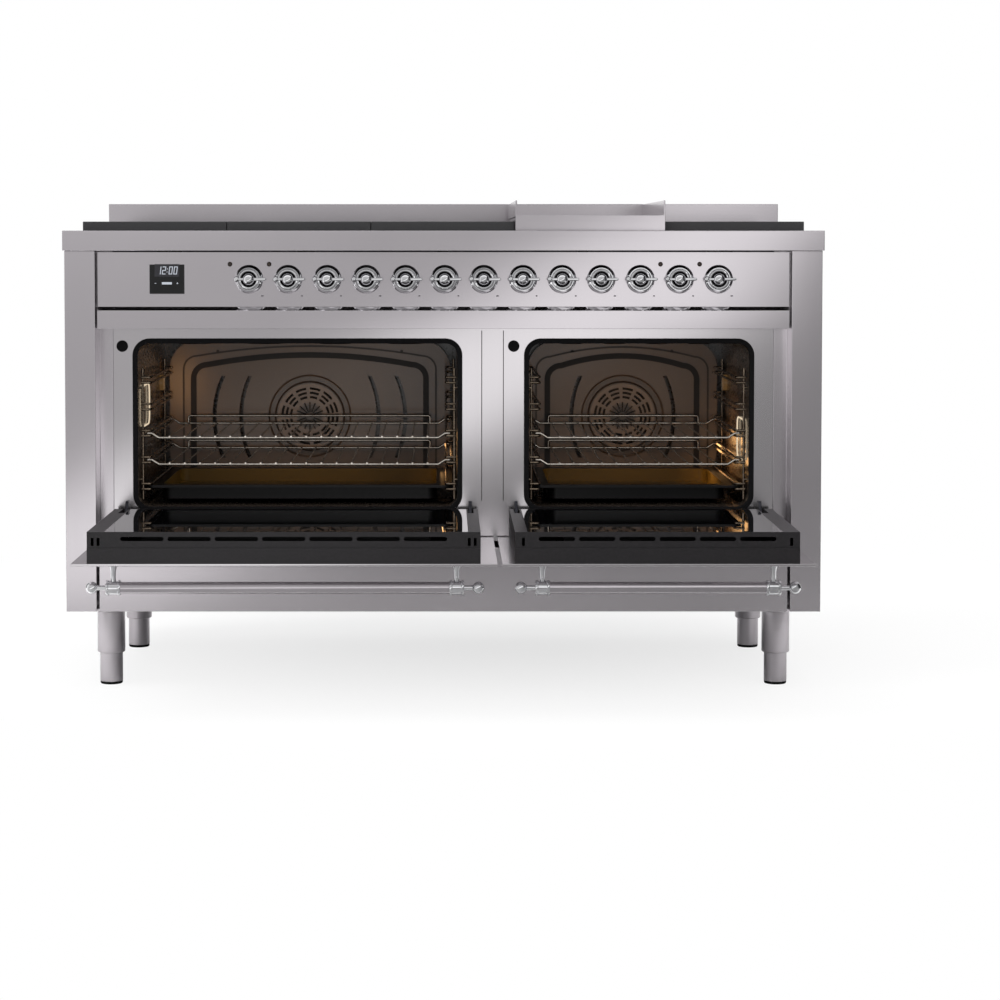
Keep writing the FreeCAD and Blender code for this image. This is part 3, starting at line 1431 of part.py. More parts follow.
def burner_places():
    """Burners stand in pairs under the four pan supports."""
    middles = [(left + right) / 2 for left, right in support_spans()]
    return [(x, depth(y)) for x in middles for y in burner_depths]


def burner_bases():
    """Cast cups with a throat through the pan, and the long burner under the griddle."""
    rim = dim("burner_base_radius")
    height = dim("burner_base_height")
    throat = dim("burner_throat_radius")
    step = dim("burner_cup_step")
    crown = dim("burner_crown_radius")
    master = turned("burner_cup", "XZ_Plane", [
        (0, -dim("burner_throat_length")), (throat, -dim("burner_throat_length")), (throat, 0), (rim, 0),
        (rim, step), (rim - step, step + step), (crown + step, height), (0, height)])
    cups = copies("burner_base", master, [(x, y, pan_floor) for x, y in burner_places()])
    x, y = griddle_burner_place()
    length = dim("griddle_burner_length")
    z = griddle_floor - dim("griddle_burner_drop")
    tube = rod("griddle_tube", (x, y - length / 2, z), dim("griddle_burner_radius"), length, "y")
    foot = pan_floor - dim("burner_throat_length")
    stem = rod("griddle_stem", (x, y, foot), throat, z - foot, "z")
    seat = rod("griddle_seat", (x, y, pan_floor), dim("griddle_seat_radius"), gauge, "z")
    return group("burner_bases", cups + [fused("griddle_burner", [tube, stem, seat])])


def burner_caps():
    """Brass flame rings with cut ports, each under its cap."""
    crown = dim("burner_crown_radius")
    rise = dim("burner_crown_height")
    cap = dim("burner_cap_radius")
    top = dim("burner_cap_height")
    body = turned("flame_ring", "XZ_Plane", [
        (0, 0), (crown, 0), (crown, rise), (cap, rise), (cap, rise + top / 2), (cap - top, rise + top),
        (0, rise + top)])
    sketch = new_sketch(body, "XY_Plane", rise)
    half = dim("burner_tooth_width") / 2
    outline(sketch, rectangle((crown - dim("burner_tooth_depth"), -half), (crown + over, half)))
    port = pocket(body, sketch, rise / 2)
    pattern = body.newObject("PartDesign::PolarPattern", "flame_ports")
    pattern.Originals = [port]
    pattern.Axis = (plane_of(body, "Z_Axis"), [""])
    pattern.Angle = 360
    pattern.Occurrences = count("burner_teeth")
    body.Tip = pattern
    seat = pan_floor + dim("burner_base_height")
    return group("burner_caps", copies("burner_cap", body, [(x, y, seat) for x, y in burner_places()]))


def pan_supports():
    """Cast frames with a cross bar, fingers towards each burner and feet on the pan."""
    front = depth(dim("support_front"))
    back = depth(support_back)
    top = dim("worktop_height") + dim("support_lift")
    low = top - dim("support_height")
    tip = top - dim("finger_height")
    bar = dim("support_bar")
    foot = dim("support_foot")
    clear = dim("finger_clear")
    pieces = []
    for left, right in support_spans():
        middle = (left + right) / 2
        cross = depth((burner_depths[0] + burner_depths[1]) / 2)
        bars = [box("support_side", (left, front, low), (left + bar, back, top)),
                box("support_side", (right - bar, front, low), (right, back, top)),
                box("support_end", (left, front, low), (right, front + bar, top)),
                box("support_end", (left, back - bar, low), (right, back, top)),
                box("support_cross", (left, cross - bar / 2, low), (right, cross + bar / 2, top))]
        for place, start, stop in zip(burner_depths, (front, cross), (cross, back)):
            y = depth(place)
            thin = bar * dim("finger_share")
            bars.append(box("finger", (left, y - thin, tip), (middle - clear, y + thin, top)))
            bars.append(box("finger", (middle + clear, y - thin, tip), (right, y + thin, top)))
            bars.append(box("finger", (middle - thin, start, tip), (middle + thin, y - clear, top)))
            bars.append(box("finger", (middle - thin, y + clear, tip), (middle + thin, stop, top)))
        for x in (left, right - foot):
            for y in (front, back - foot):
                bars.append(box("support_foot", (x, y, pan_floor), (x + foot, y + foot, low)))
        pieces.append(fused("pan_support", bars))
    return group("pan_supports", pieces)


def griddle_plate():
    """A thick plate on four feet, with a grease trough, walls on three sides and a front apron."""
    left = griddle_start
    right = griddle_end
    front = depth(dim("griddle_front"))
    back = depth(griddle_back)
    floor = griddle_floor
    under = floor - dim("griddle_gauge")
    wall = dim("griddle_wall")
    high = floor + dim("griddle_rise")
    parts = [box("griddle_slab", (left + wall, front, under), (right - wall, back - wall, floor)),
             box("griddle_left", (left, front, floor - wall), (left + wall, back, high)),
             box("griddle_right", (right - wall, front, floor - wall), (right, back, high)),
             box("griddle_back", (left, back - wall, floor - wall), (right, back, high)),
             box("griddle_apron", (left, front, floor - dim("griddle_apron")), (right, front + wall, floor))]
    leg = dim("griddle_leg")
    for x in (left + leg, right - leg - leg):
        for y in (front + leg, back - leg - leg):
            parts.append(box("griddle_foot", (x, y, pan_floor), (x + leg, y + leg, under)))
    start = front + dim("griddle_trough_inset")
    trough = box("griddle_trough", (left + leg, start, floor - dim("griddle_trough_depth")),
                 (right - leg, start + dim("griddle_trough"), floor + over))
    return finish_node(cut("griddle_cut", fused("griddle_joined", parts), [trough]), "griddle_plate")


def drawer_front():
    """A folded front, open at the back."""
    half = drawer_half
    front = depth(dim("body_setback"))
    back = front + dim("drawer_front_depth")
    low = dim("body_bottom") + gap
    high = dim("drawer_top")
    section = [(front, low), (front, high), (back, high), (back, high - gauge), (front + gauge, high - gauge),
               (front + gauge, low + gauge), (back, low + gauge), (back, low)]
    return finish_node(prism("drawer_fold", "YZ_Plane", section, -half, half + half), "drawer_front")


def drawer_box():
    """An open tray with a slide bar along each side."""
    half = drawer_box_half
    front = depth(dim("body_setback")) + gauge
    back = depth(back_plane - dim("drawer_box_back_gap"))
    low = dim("drawer_box_floor")
    high = dim("drawer_box_top")
    wall = dim("drawer_wall")
    body = new_body("drawer_tray")
    sketch = new_sketch(body, "XY_Plane", low)
    outline(sketch, rectangle((-half, front), (half, back)))
    pad(body, sketch, high - low)
    inner = new_sketch(body, "XY_Plane", high)
    outline(inner, rectangle((-half + wall, front + wall), (half - wall, back - wall)))
    pocket(body, inner, high - low - wall)
    shelf = dim("runner_floor") + gauge + dim("drawer_slide_gap")
    top = shelf + dim("slide_depth")
    start = depth(frame_plane) + gauge
    bars = []
    for low_x, high_x in ((-half - dim("runner_width"), -half), (half, half + dim("runner_width"))):
        bars.append(box("drawer_slide", (low_x, start, shelf), (high_x, back, top)))
    return finish_node(fused("drawer_box_joined", [body] + bars), "drawer_box")


def drawer_runners():
    """Folded channels on the floor sheet that carry the drawer's slide bars."""
    half = drawer_box_half
    inner = half + dim("runner_side_gap")
    outer = half + dim("runner_width") + dim("drawer_slide_gap") + gauge
    floor = dim("runner_floor")
    shelf = floor + gauge
    cover = shelf + dim("slide_depth") + dim("drawer_slide_gap") + dim("drawer_slide_gap")
    foot = dim("body_bottom") + gauge
    section = [(inner, floor), (outer - gauge, floor), (outer - gauge, foot), (outer, foot),
               (outer, cover + gauge), (inner, cover + gauge), (inner, cover), (outer - gauge, cover),
               (outer - gauge, shelf), (inner, shelf)]
    body = new_body("right_runner")
    start = depth(frame_plane) + gauge
    sketch = new_sketch(body, "XZ_Plane", -start)
    outline(sketch, section)
    pad(body, sketch, depth(back_plane - dim("runner_back_gap")) - start, back=True)
    return group("drawer_runners", [body, mirrored("left_runner", body)])


def build_all():
    worktop()
    backguard()
    side_panels()
    control_panel()
    front_rail()
    oven_fronts()
    door_gaskets()
    for side in ("left", "right"):
        oven_cavity(side)
    group("fan_covers", [fan_cover(side) for side in ("left", "right")])
    for side in ("left", "right"):
        fan(side)
    fan_motors()
    oven_elements()
    oven_lamps()
    rack_rails()
    for side in ("left", "right"):
        rack(side, count("upper_rack_level"), f"{side}_upper_rack")
        rack(side, count("lower_rack_level"), f"{side}_lower_rack")
        tray(side)
        door_skin(side)
        door_liner(side)
        door_glass(side)
        door_window(side)
        door_handle(side)
    hinge_arms()
    knob_bezels()
    for number, spot in enumerate(knob_spots(), start=1):
        knob(number, spot)
    clock_module()
    indicator_lamps()
    control_valves()
    burner_bases()
    burner_caps()
    pan_supports()
    griddle_plate()
    drawer_front()
    drawer_box()
    drawer_runners()
    base_panel()
    back_panel()
    legs()


def write_all():
    doc.recompute()
    for item in doc.Objects:
        if "Invalid" in item.State or "Error" in item.State:
            raise RuntimeError(f"{item.Name} failed: {item.State}")
    os.makedirs("parts", exist_ok=True)
    for label, item in nodes:
        shape = item.Shape
        if shape.isNull() or not shape.isValid():
            raise RuntimeError(f"{label} has no valid shape")
        print(f"{label}: {len(shape.Solids)} solid(s), {shape.Volume:.0f} mm3")
        shape.exportStep(f"parts/{label}.step")
    print(f"{len(nodes)} nodes")


build_all()
write_all()
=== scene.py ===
from math import atan2, cos, pi, radians, sin

import bmesh
import bpy
from mathutils import Euler, Matrix, Vector


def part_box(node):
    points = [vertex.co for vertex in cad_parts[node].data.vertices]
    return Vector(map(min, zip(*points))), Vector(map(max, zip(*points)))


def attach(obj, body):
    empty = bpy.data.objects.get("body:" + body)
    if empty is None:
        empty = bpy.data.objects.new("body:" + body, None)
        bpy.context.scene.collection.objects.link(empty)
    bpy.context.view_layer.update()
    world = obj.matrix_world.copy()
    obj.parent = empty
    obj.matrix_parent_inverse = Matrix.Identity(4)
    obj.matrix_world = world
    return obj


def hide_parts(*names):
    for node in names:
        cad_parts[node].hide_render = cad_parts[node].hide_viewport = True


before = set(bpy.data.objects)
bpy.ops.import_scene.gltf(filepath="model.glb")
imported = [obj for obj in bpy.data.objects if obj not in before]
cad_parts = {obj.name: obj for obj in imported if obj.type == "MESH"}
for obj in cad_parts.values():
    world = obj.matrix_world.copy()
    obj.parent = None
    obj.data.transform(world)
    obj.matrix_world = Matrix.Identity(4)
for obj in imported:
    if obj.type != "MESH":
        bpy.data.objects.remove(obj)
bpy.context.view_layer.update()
scene = bpy.context.scene
sides = ("left", "right")

# Places read from the CAD, in metres
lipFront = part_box("worktop")[0].y
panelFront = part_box("control_panel")[0].y
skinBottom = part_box("left_door_skin")[0].z
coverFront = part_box("fan_covers")[0].y
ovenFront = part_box("oven_fronts")[0].y


def hexColour(code):  # an sRGB hex value as linear colour
    parts = [int(code[n:n + 2], 16) / 255 for n in (1, 3, 5)]
    return tuple(c / 12.92 if c <= 0.04045 else ((c + 0.055) / 1.055) ** 2.4 for c in parts) + (1.0,)


def addNode(tree, kind, settings=None, links=None, stops=(), feeds=()):
    # stops: the (place, hex) pairs of a colour ramp; feeds fill the inputs in order, by socket or value
    node = tree.nodes.new(kind)
    if stops:
        band = node.color_ramp.elements
        band[0].position, band[-1].position = stops[0][0], stops[-1][0]
        for place, _ in stops[1:-1]:
            band.new(place)
        for element, (_, code) in zip(band, stops):
            element.color = hexColour(code)
    for name, value in (settings or {}).items():
        if name in node.inputs:
            node.inputs[name].default_value = value
        else:
            setattr(node, name, value)
    for name, source in (links or {}).items():
        tree.links.new(source, node.inputs[name])
    for socket, feed in zip(node.inputs, feeds):
        if isinstance(feed, bpy.types.NodeSocket):
            tree.links.new(feed, socket)
        else:
            socket.default_value = feed
    return node


def newMaterial(name, settings):
    material = bpy.data.materials.new(name)
    material.use_nodes = True
    tree = material.node_tree
    tree.nodes.clear()
    shader = addNode(tree, "ShaderNodeBsdfPrincipled", settings)
    addNode(tree, "ShaderNodeOutputMaterial", links={"Surface": shader.outputs["BSDF"]})
    return material, tree, shader


# Brushed AISI 304 sheet: fine parallel scratches blur what it mirrors and vary its gloss in streaks.
# The real scratches are 0.05 mm apart; they are drawn 1 mm apart so that they show.
brushedSheet = {
    "light": "#cbc6ca", "dark": "#c6c1c5", "roughness": (0.19, 0.23), "scratchMm": 1.0, "lengthMm": 420,
    "bumpMm": 0.004, "mottleMm": 300,
}


def brushedSteel(name, along, light=None, dark=None, roughness=None):
    look = brushedSheet
    material, tree, shader = newMaterial(name, {"Metallic": 1.0})
    place = addNode(tree, "ShaderNodeTexCoord")
    fine, long = 1000 / look["scratchMm"], 1000 / look["lengthMm"]
    scale = [fine, fine, fine]
    scale["xyz".index(along)] = long
    stretch = addNode(tree, "ShaderNodeMapping", {"Scale": scale}, {"Vector": place.outputs["Object"]})
    streaks = addNode(tree, "ShaderNodeTexNoise", {"Scale": 1.0, "Detail": 3.0, "Roughness": 0.6},
                      {"Vector": stretch.outputs["Vector"]})
    mottle = addNode(tree, "ShaderNodeTexNoise", {"Scale": 1000 / look["mottleMm"], "Detail": 2.0},
                     {"Vector": place.outputs["Object"]})
    low, high = roughness or look["roughness"]
    gloss = addNode(tree, "ShaderNodeMapRange", {"To Min": low, "To Max": high},
                    {"Value": streaks.outputs["Fac"]})
    colour = addNode(tree, "ShaderNodeValToRGB", links={"Fac": mottle.outputs["Fac"]},
                     stops=[(0.35, dark or look["dark"]), (0.65, light or look["light"])])
    bump = addNode(tree, "ShaderNodeBump", {"Strength": 0.25, "Distance": look["bumpMm"] / 1000},
                   {"Height": streaks.outputs["Fac"]})
    tree.links.new(colour.outputs["Color"], shader.inputs["Base Color"])
    tree.links.new(gloss.outputs["Result"], shader.inputs["Roughness"])
    tree.links.new(bump.outputs["Normal"], shader.inputs["Normal"])
    return material


def noisyFinish(name, settings, light, dark, grainMm, roughness, bumpMm=0.0):
    # one grain pattern drives the colour, the gloss and the relief
    material, tree, shader = newMaterial(name, settings)
    place = addNode(tree, "ShaderNodeTexCoord")
    grain = addNode(tree, "ShaderNodeTexNoise", {"Scale": 1000 / grainMm, "Detail": 3.0},
                    {"Vector": place.outputs["Object"]})
    colour = addNode(tree, "ShaderNodeValToRGB", links={"Fac": grain.outputs["Fac"]},
                     stops=[(0.35, dark), (0.65, light)])
    gloss = addNode(tree, "ShaderNodeMapRange", {"To Min": roughness[0], "To Max": roughness[1]},
                    {"Value": grain.outputs["Fac"]})
    tree.links.new(colour.outputs["Color"], shader.inputs["Base Color"])
    tree.links.new(gloss.outputs["Result"], shader.inputs["Roughness"])
    if bumpMm:
        bump = addNode(tree, "ShaderNodeBump", {"Strength": 0.6, "Distance": bumpMm / 1000},
                       {"Height": grain.outputs["Fac"]})
        tree.links.new(bump.outputs["Normal"], shader.inputs["Normal"])
    return material


enamelLook = {"glossyIor": 1.52, "mattIor": 1.3, "coatBlur": 0.05, "fleckEdge": 0.06, "peelMm": 9.0,
              "peelDeepMm": 0.1}


def enamel(name, ground, fleck, fleckMm, amount, roughness, coat=0.3):
    # Vitreous enamel: a glassy coat with small pale flecks fused into it, and a slight orange peel.
    look = enamelLook
    material, tree, shader = newMaterial(name, {"IOR": look["glossyIor"] if coat else look["mattIor"],
                                                "Coat Weight": coat, "Coat Roughness": look["coatBlur"]})
    place = addNode(tree, "ShaderNodeTexCoord")
    cells = addNode(tree, "ShaderNodeTexVoronoi", {"Scale": 1000 / fleckMm},
                    {"Vector": place.outputs["Object"]})
    spots = addNode(tree, "ShaderNodeValToRGB", links={"Fac": cells.outputs["Distance"]},
                    stops=[(amount, fleck), (amount + look["fleckEdge"], ground)])
    peel = addNode(tree, "ShaderNodeTexNoise", {"Scale": 1000 / look["peelMm"], "Detail": 1.0},
                   {"Vector": place.outputs["Object"]})
    gloss = addNode(tree, "ShaderNodeMapRange", {"To Min": roughness[0], "To Max": roughness[1]},
                    {"Value": peel.outputs["Fac"]})
    bump = addNode(tree, "ShaderNodeBump", {"Strength": 0.3, "Distance": look["peelDeepMm"] / 1000},
                   {"Height": peel.outputs["Fac"]})
    tree.links.new(spots.outputs["Color"], shader.inputs["Base Color"])
    tree.links.new(gloss.outputs["Result"], shader.inputs["Roughness"])
    tree.links.new(bump.outputs["Normal"], shader.inputs["Normal"])
    return material


# Worktop, panels and drawer: the grain runs left to right
brushedAcross = brushedSteel("brushedStainlessAcross", "x")
# Pillars and side sheets: the grain runs up
brushedUpright = brushedSteel("brushedStainlessUpright", "z")
# Bright annealed sheet: nearly a mirror, so it takes the colours around it
brightSheet = brushedSteel("brightAnnealedStainless", "z", "#cdc9cc", "#c8c4c7", (0.16, 0.20))
# Buffed after folding: a plain dark mirror beside the brushed faces
buffedFold = brushedSteel("buffedStainlessFold", "x", "#c9c5c8", "#c2bec1", (0.05, 0.08))
# Ground round, with soft highlights
satinTube = brushedSteel("satinGroundTube", "z", "#b6b1b5", "#afaaae", (0.26, 0.36))
# Ground lengthwise: one long soft highlight
satinBar = brushedSteel("satinGroundBar", "x", "#c0bbbf", "#b8b3b7", (0.20, 0.28))
# Zinc coated sheet: dull grey with a faint spangle
zincSheet = noisyFinish("zincCoatedSheet", {"Metallic": 1.0}, "#a4a6a8", "#8d8f92", 12, (0.38, 0.55))
# Plated die casting: a bright mirror with slight polishing haze
chromePlate = noisyFinish("chromePlatedCasting", {"Metallic": 1.0}, "#dcdcde", "#cfcfd2", 30, (0.04, 0.09))
# Plated wire, drawn and bent: bright with a warm cast from the heat
platedWire = noisyFinish("chromePlatedWire", {"Metallic": 1.0}, "#cfc8bf", "#b3aba1", 8, (0.12, 0.22))
# The ladder wires never leave the oven: baked dull and brown
bakedWire = noisyFinish("heatDulledWire", {"Metallic": 1.0}, "#8a7c6c", "#6c6053", 8, (0.2, 0.32))
# Heat-blued spring steel of the hinges
blackedSteel = noisyFinish("blackenedSteel", {"Metallic": 1.0}, "#3b3b40", "#2a2a2e", 6, (0.35, 0.5), 0.01)
# Sand cast iron under matt black enamel: pitted, and it hardly shines
castIron = noisyFinish("enamelledCastIron", {"IOR": 1.5}, "#2c2c2e", "#1d1d1f", 1.6, (0.5, 0.7), 0.12)
# Turned brass, warm, with slight tarnish
brass = noisyFinish("turnedBrass", {"Metallic": 1.0}, "#d8ab5c", "#b98a42", 14, (0.18, 0.32), 0.01)
# Die cast aluminium fan, painted dark grey-brown for the shade behind its cover; the burner cups and bases
# share it
shadeDarkAluminium = noisyFinish("dieCastAluminiumShadeDark", {"Metallic": 1.0}, "#4a4540", "#37332f", 3, (0.42, 0.58),
                            0.03)
# Cured black rubber, matt with a faint bloom
rubber = noisyFinish("mouldedRubber", {"IOR": 1.2}, "#0e0d0f", "#09090a", 5, (0.55, 0.75), 0.02)
# Heating element sheath: nickel alloy, oxidised to a dull green-brown
elementSheath = noisyFinish("oxidisedSheath", {"Metallic": 0.6}, "#2c2824", "#1e1b18", 6, (0.4, 0.6), 0.01)
# Oven walls: dark and glassy, with a few pale flecks
darkEnamel = enamel("greyBrownEnamel", "#352d27", "#463d35", 3.0, 0.10, (0.22, 0.34))
# Fan covers: a lighter brown and a duller glaze
coverEnamel = enamel("brownEnamelPressing", "#4e453f", "#6a6058", 3.0, 0.08, (0.3, 0.42))
# Trays: plain black, and a warm brown on the faces that look inwards: painted glow of the oven lamps
blackEnamel = enamel("blackEnamelSheet", "#0b0a0b", "#161517", 4.0, 0.05, (0.3, 0.4), 0.0)
paintedTrayGlow = enamel("paintedTrayGlow", "#4d401c", "#5d5028", 4.0, 0.06, (0.3, 0.45), 0.0)
# Baked charcoal paint of the door liners: even and nearly matt
linerPaint = noisyFinish("charcoalDoorFrame", {"IOR": 1.38}, "#1b181b", "#151315", 5, (0.36, 0.48))
# Float glass with a fired black back: reads as a black mirror
ovenGlass = noisyFinish("firedBlackGlass", {"IOR": 1.52, "Coat Weight": 1.0, "Coat Roughness": 0.01},
                        "#0b0b0d", "#080809", 40, (0.02, 0.04))
# Moulded acrylic: gloss black, and grey where the unlit display film lies behind the digits
clockGlass = noisyFinish("glossBlackAcrylic", {"IOR": 1.49}, "#08080a", "#050506", 20, (0.04, 0.07))
displayFilm = noisyFinish("displayFilm", {"IOR": 1.5}, "#222127", "#1c1b20", 4, (0.25, 0.35))
# Moulded lens over an unlit neon: dark amber and glossy
smokedLens = noisyFinish("smokedLens", {"IOR": 1.49}, "#2b2016", "#1c140e", 3, (0.06, 0.1))
# Painted shade in the pressed grooves of the enamel: near black, and they hardly shine
grooveShadePaint = noisyFinish("paintedGrooveShade", {"IOR": 1.5}, "#120e0b", "#0d0a08", 4, (0.45, 0.6))
# Painted shade along the cover folds; also the dark screw heads and the dark joints between the plates
foldShade = noisyFinish("foldShadeAndJoints", {"IOR": 1.5}, "#26201c", "#1c1815", 4, (0.4, 0.5))
# Fired ink: dull dark grey on the steel
inkMark = noisyFinish("firedInk", {"IOR": 1.5}, "#4a474b", "#403d41", 2, (0.45, 0.55))


def glowing(name, code, strength):  # a glowing surface: lamp cover, digits, or the painted glint on the lamp rims
    material, tree, shader = newMaterial(name, {"Base Color": hexColour("#1c1a18"), "Roughness": 0.3,
                                                "Emission Strength": strength})
    place = addNode(tree, "ShaderNodeTexCoord")
    frost = addNode(tree, "ShaderNodeTexNoise", {"Scale": 300.0}, {"Vector": place.outputs["Object"]})
    gloss = addNode(tree, "ShaderNodeMapRange", {"To Min": 0.2, "To Max": 0.4},
                    {"Value": frost.outputs["Fac"]})
    tree.links.new(gloss.outputs["Result"], shader.inputs["Roughness"])
    shader.inputs["Emission Color"].default_value = hexColour(code)
    return material


lampGlow = glowing("frostedLampGlass", "#ffc27a", 0.08)  # borosilicate cover over a warm bulb
rimPaintedGlint = glowing("paintedRimGlint", "#ffe9c8", 0.75)  # painted glint: a glowing ring for the pressed rim round the lamp glass, which the lamp lights
digitGlow = glowing("litSegments", "#dfe6f2", 0.70)  # cool white LED segments
print("materials ready")


# Degrees: edges sharper than the first stay sharp, those sharper than the second are rounded, and faces
# within the third are one. Metres: points of the CAD mesh, and of a new piece, this near are one point.
meshRules = {"sharp": 32, "bevel": 40, "flat": 0.5, "cadPoints": 0.00002, "points": 0.00001}


def finishPiece(bm, name, material, body, stands=(), weighted=False):
    mesh = bpy.data.meshes.new(name)
    bm.to_mesh(mesh)
    bm.free()
    mesh.shade_smooth()
    mesh.set_sharp_from_angle(angle=radians(meshRules["sharp"]))
    mesh.materials.append(material)
    piece = bpy.data.objects.new(name, mesh)
    scene.collection.objects.link(piece)
    if weighted:
        evened = piece.modifiers.new("evened", "WEIGHTED_NORMAL")
        evened.keep_sharp = True
    if stands:
        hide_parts(*stands)
    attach(piece, body)
    return piece


def mergedCopy(node):  # a CAD node's shape with its loose triangles joined into flat faces
    bm = bmesh.new()
    bm.from_mesh(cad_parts[node].data)
    bmesh.ops.remove_doubles(bm, verts=bm.verts, dist=meshRules["cadPoints"])
    bmesh.ops.dissolve_limit(bm, angle_limit=radians(meshRules["flat"]), verts=bm.verts, edges=bm.edges)
    return bm


def softened(node, name, material, body, slotName, width):  # a CAD node with its folds rounded
    bm = mergedCopy(node)
    limit = radians(meshRules["bevel"])
    folds = [e for e in bm.edges if len(e.link_faces) == 2 and e.calc_face_angle(0) > limit]
    bmesh.ops.bevel(bm, geom=folds, offset=width, offset_type="OFFSET", affect="EDGES", segments=2,
                    profile=0.5, material=-1, clamp_overlap=True)
    return finishPiece(bm, name, material, body, (node,), weighted=True)


def spun(bm, profile, centre, axis, steps, start=(1, 0, 0)):
    # a profile of (radius, along) points turned fully about an axis through the centre
    axis, start, centre = Vector(axis), Vector(start), Vector(centre)
    verts = [bm.verts.new(centre + start * r + axis * a) for r, a in profile]
    edges = [bm.edges.new(pair) for pair in zip(verts, verts[1:])]
    bmesh.ops.spin(bm, geom=verts + edges, cent=centre, axis=axis, angle=2 * pi, steps=steps,
                   use_merge=True, use_duplicate=False)
    bmesh.ops.remove_doubles(bm, verts=bm.verts, dist=meshRules["points"])


def closeUp(bm):  # merge doubles, close poles and turn the faces outwards
    bmesh.ops.remove_doubles(bm, verts=bm.verts, dist=meshRules["points"])
    bmesh.ops.dissolve_degenerate(bm, edges=bm.edges, dist=meshRules["points"] / 2)
    bmesh.ops.recalc_face_normals(bm, faces=bm.faces)


def printedBar(bm, low, high):  # a thin raised bar between two corners: one stroke of a mark or a digit
    low, high = Vector(low), Vector(high)
    bmesh.ops.create_cube(bm, size=1.0, matrix=Matrix.Translation((low + high) / 2)
                          @ Matrix.Diagonal((*(high - low), 1)))


def repeated(bm, steps):  # the whole mesh again, moved by each step
    first = bm.verts[:] + bm.edges[:] + bm.faces[:]
    for step in steps:
        made = bmesh.ops.duplicate(bm, geom=first)
        moved = [v for v in made["geom"] if isinstance(v, bmesh.types.BMVert)]
        bmesh.ops.translate(bm, vec=step, verts=moved)


def wireRing(bm, points, radius, bend):
    # a closed ring of round wire: a bevelled curve through the points, taken over as a mesh
    line = bpy.data.curves.new("wireLine", "CURVE")
    line.dimensions = "3D"
    line.bevel_depth = radius
    line.bevel_resolution = 3
    spots = rounded([Vector(p) for p in points], bend)
    spline = line.splines.new("POLY")
    spline.points.add(len(spots) - 1)
    for point, spot in zip(spline.points, spots):
        point.co = (*spot, 1)
    spline.use_cyclic_u = True
    holder = bpy.data.objects.new("wireLine", line)
    mesh = bpy.data.meshes.new_from_object(holder)
    bm.from_mesh(mesh)
    bpy.data.objects.remove(holder)
    bpy.data.curves.remove(line)
    bpy.data.meshes.remove(mesh)


def rounded(spots, bend):  # each corner of a closed line becomes a short arc
    cuts = 5
    result = []
    for number, corner in enumerate(spots):
        before, after = spots[number - 1], spots[(number + 1) % len(spots)]
        arriving, leaving = (before - corner).normalized(), (after - corner).normalized()
        first, last = corner + arriving * bend, corner + leaving * bend
        for step in range(cuts + 1):
            t = step / cuts
            result.append(first.lerp(corner, t).lerp(corner.lerp(last, t), t))
    return result


# CAD nodes that keep their shape
nodeFinish = {
    "left_oven_cavity": darkEnamel, "right_oven_cavity": darkEnamel, "fan_covers": coverEnamel,
    "left_fan": shadeDarkAluminium, "right_fan": shadeDarkAluminium, "fan_motors": zincSheet,
    "oven_lamps": lampGlow, "left_door_glass": ovenGlass, "right_door_glass": ovenGlass,
    "left_door_window": ovenGlass, "right_door_window": ovenGlass,
    "control_valves": brass, "drawer_box": zincSheet, "drawer_runners": zincSheet, "back_panel": zincSheet,
    "oven_fronts": brightSheet, "rack_rails": bakedWire, "left_upper_rack": platedWire,
    "left_lower_rack": platedWire, "right_upper_rack": platedWire, "right_lower_rack": platedWire,
}
for node, material in nodeFinish.items():
    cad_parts[node].material_slots[0].material = material


grillePaintedLight = {  # painted light and shade by distance from the fan's axis: dark hub, lit bars, shaded ring, plain cover
    "reach": 0.1, "gain": 2.0,
    "stops": [(0.0, "#7d7d7d"), (0.24, "#858585"), (0.32, "#dcdcdc"), (0.70, "#e4e4e4"), (0.73, "#989898"),
              (0.90, "#a2a2a2"), (0.96, "#bcbcbc")],
}


def paintGrilleLight(material):
    # painted light: the bars of each fan grille are painted lighter than the flat of the cover, as if they
    # caught more light
    tree = material.node_tree
    shader = next(node for node in tree.nodes if node.type == "BSDF_PRINCIPLED")
    ground = shader.inputs["Base Color"].links[0].from_socket
    place = addNode(tree, "ShaderNodeTexCoord").outputs["Object"]
    gaps = []
    for side in sides:
        low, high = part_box(f"{side}_fan")
        centre = ((low.x + high.x) / 2, coverFront, (low.z + high.z) / 2)
        gap = addNode(tree, "ShaderNodeVectorMath", {"operation": "DISTANCE"}, feeds=(place, centre))
        gaps.append(gap.outputs["Value"])
    nearest = addNode(tree, "ShaderNodeMath", {"operation": "MINIMUM"}, feeds=gaps)
    share = addNode(tree, "ShaderNodeMath", {"operation": "DIVIDE"},
                    feeds=(nearest.outputs[0], grillePaintedLight["reach"]))
    ramp = addNode(tree, "ShaderNodeValToRGB", links={"Fac": share.outputs[0]}, stops=grillePaintedLight["stops"])
    lift = addNode(tree, "ShaderNodeMath", {"operation": "MULTIPLY"},
                   feeds=(ramp.outputs["Color"], grillePaintedLight["gain"]))
    tone = addNode(tree, "ShaderNodeHueSaturation", {"Saturation": 0.9},
                   {"Color": ground, "Value": lift.outputs[0]})
    tree.links.new(tone.outputs["Color"], shader.inputs["Base Color"])


paintGrilleLight(coverEnamel)

# Metres: half width and top of the outer fold and of the inner groove, how wide both are, and the screws
pressingShape = {
    "left": {"middle": -0.2958, "fold": (0.2793, 0.667), "groove": (0.2572, 0.6474), "screws": 0.2035},
    "right": {"middle": 0.3955, "fold": (0.1900, 0.665), "groove": (0.1652, 0.6453), "screws": 0.1100},
    "foldWide": 0.0038, "grooveWide": 0.0125, "foot": 0.385, "sag": 0.0215, "bend": 0.030,
    "screwHigh": 0.6560, "screw": 0.0032, "proud": 0.0005, "bendCuts": 8, "headCuts": 16,
}


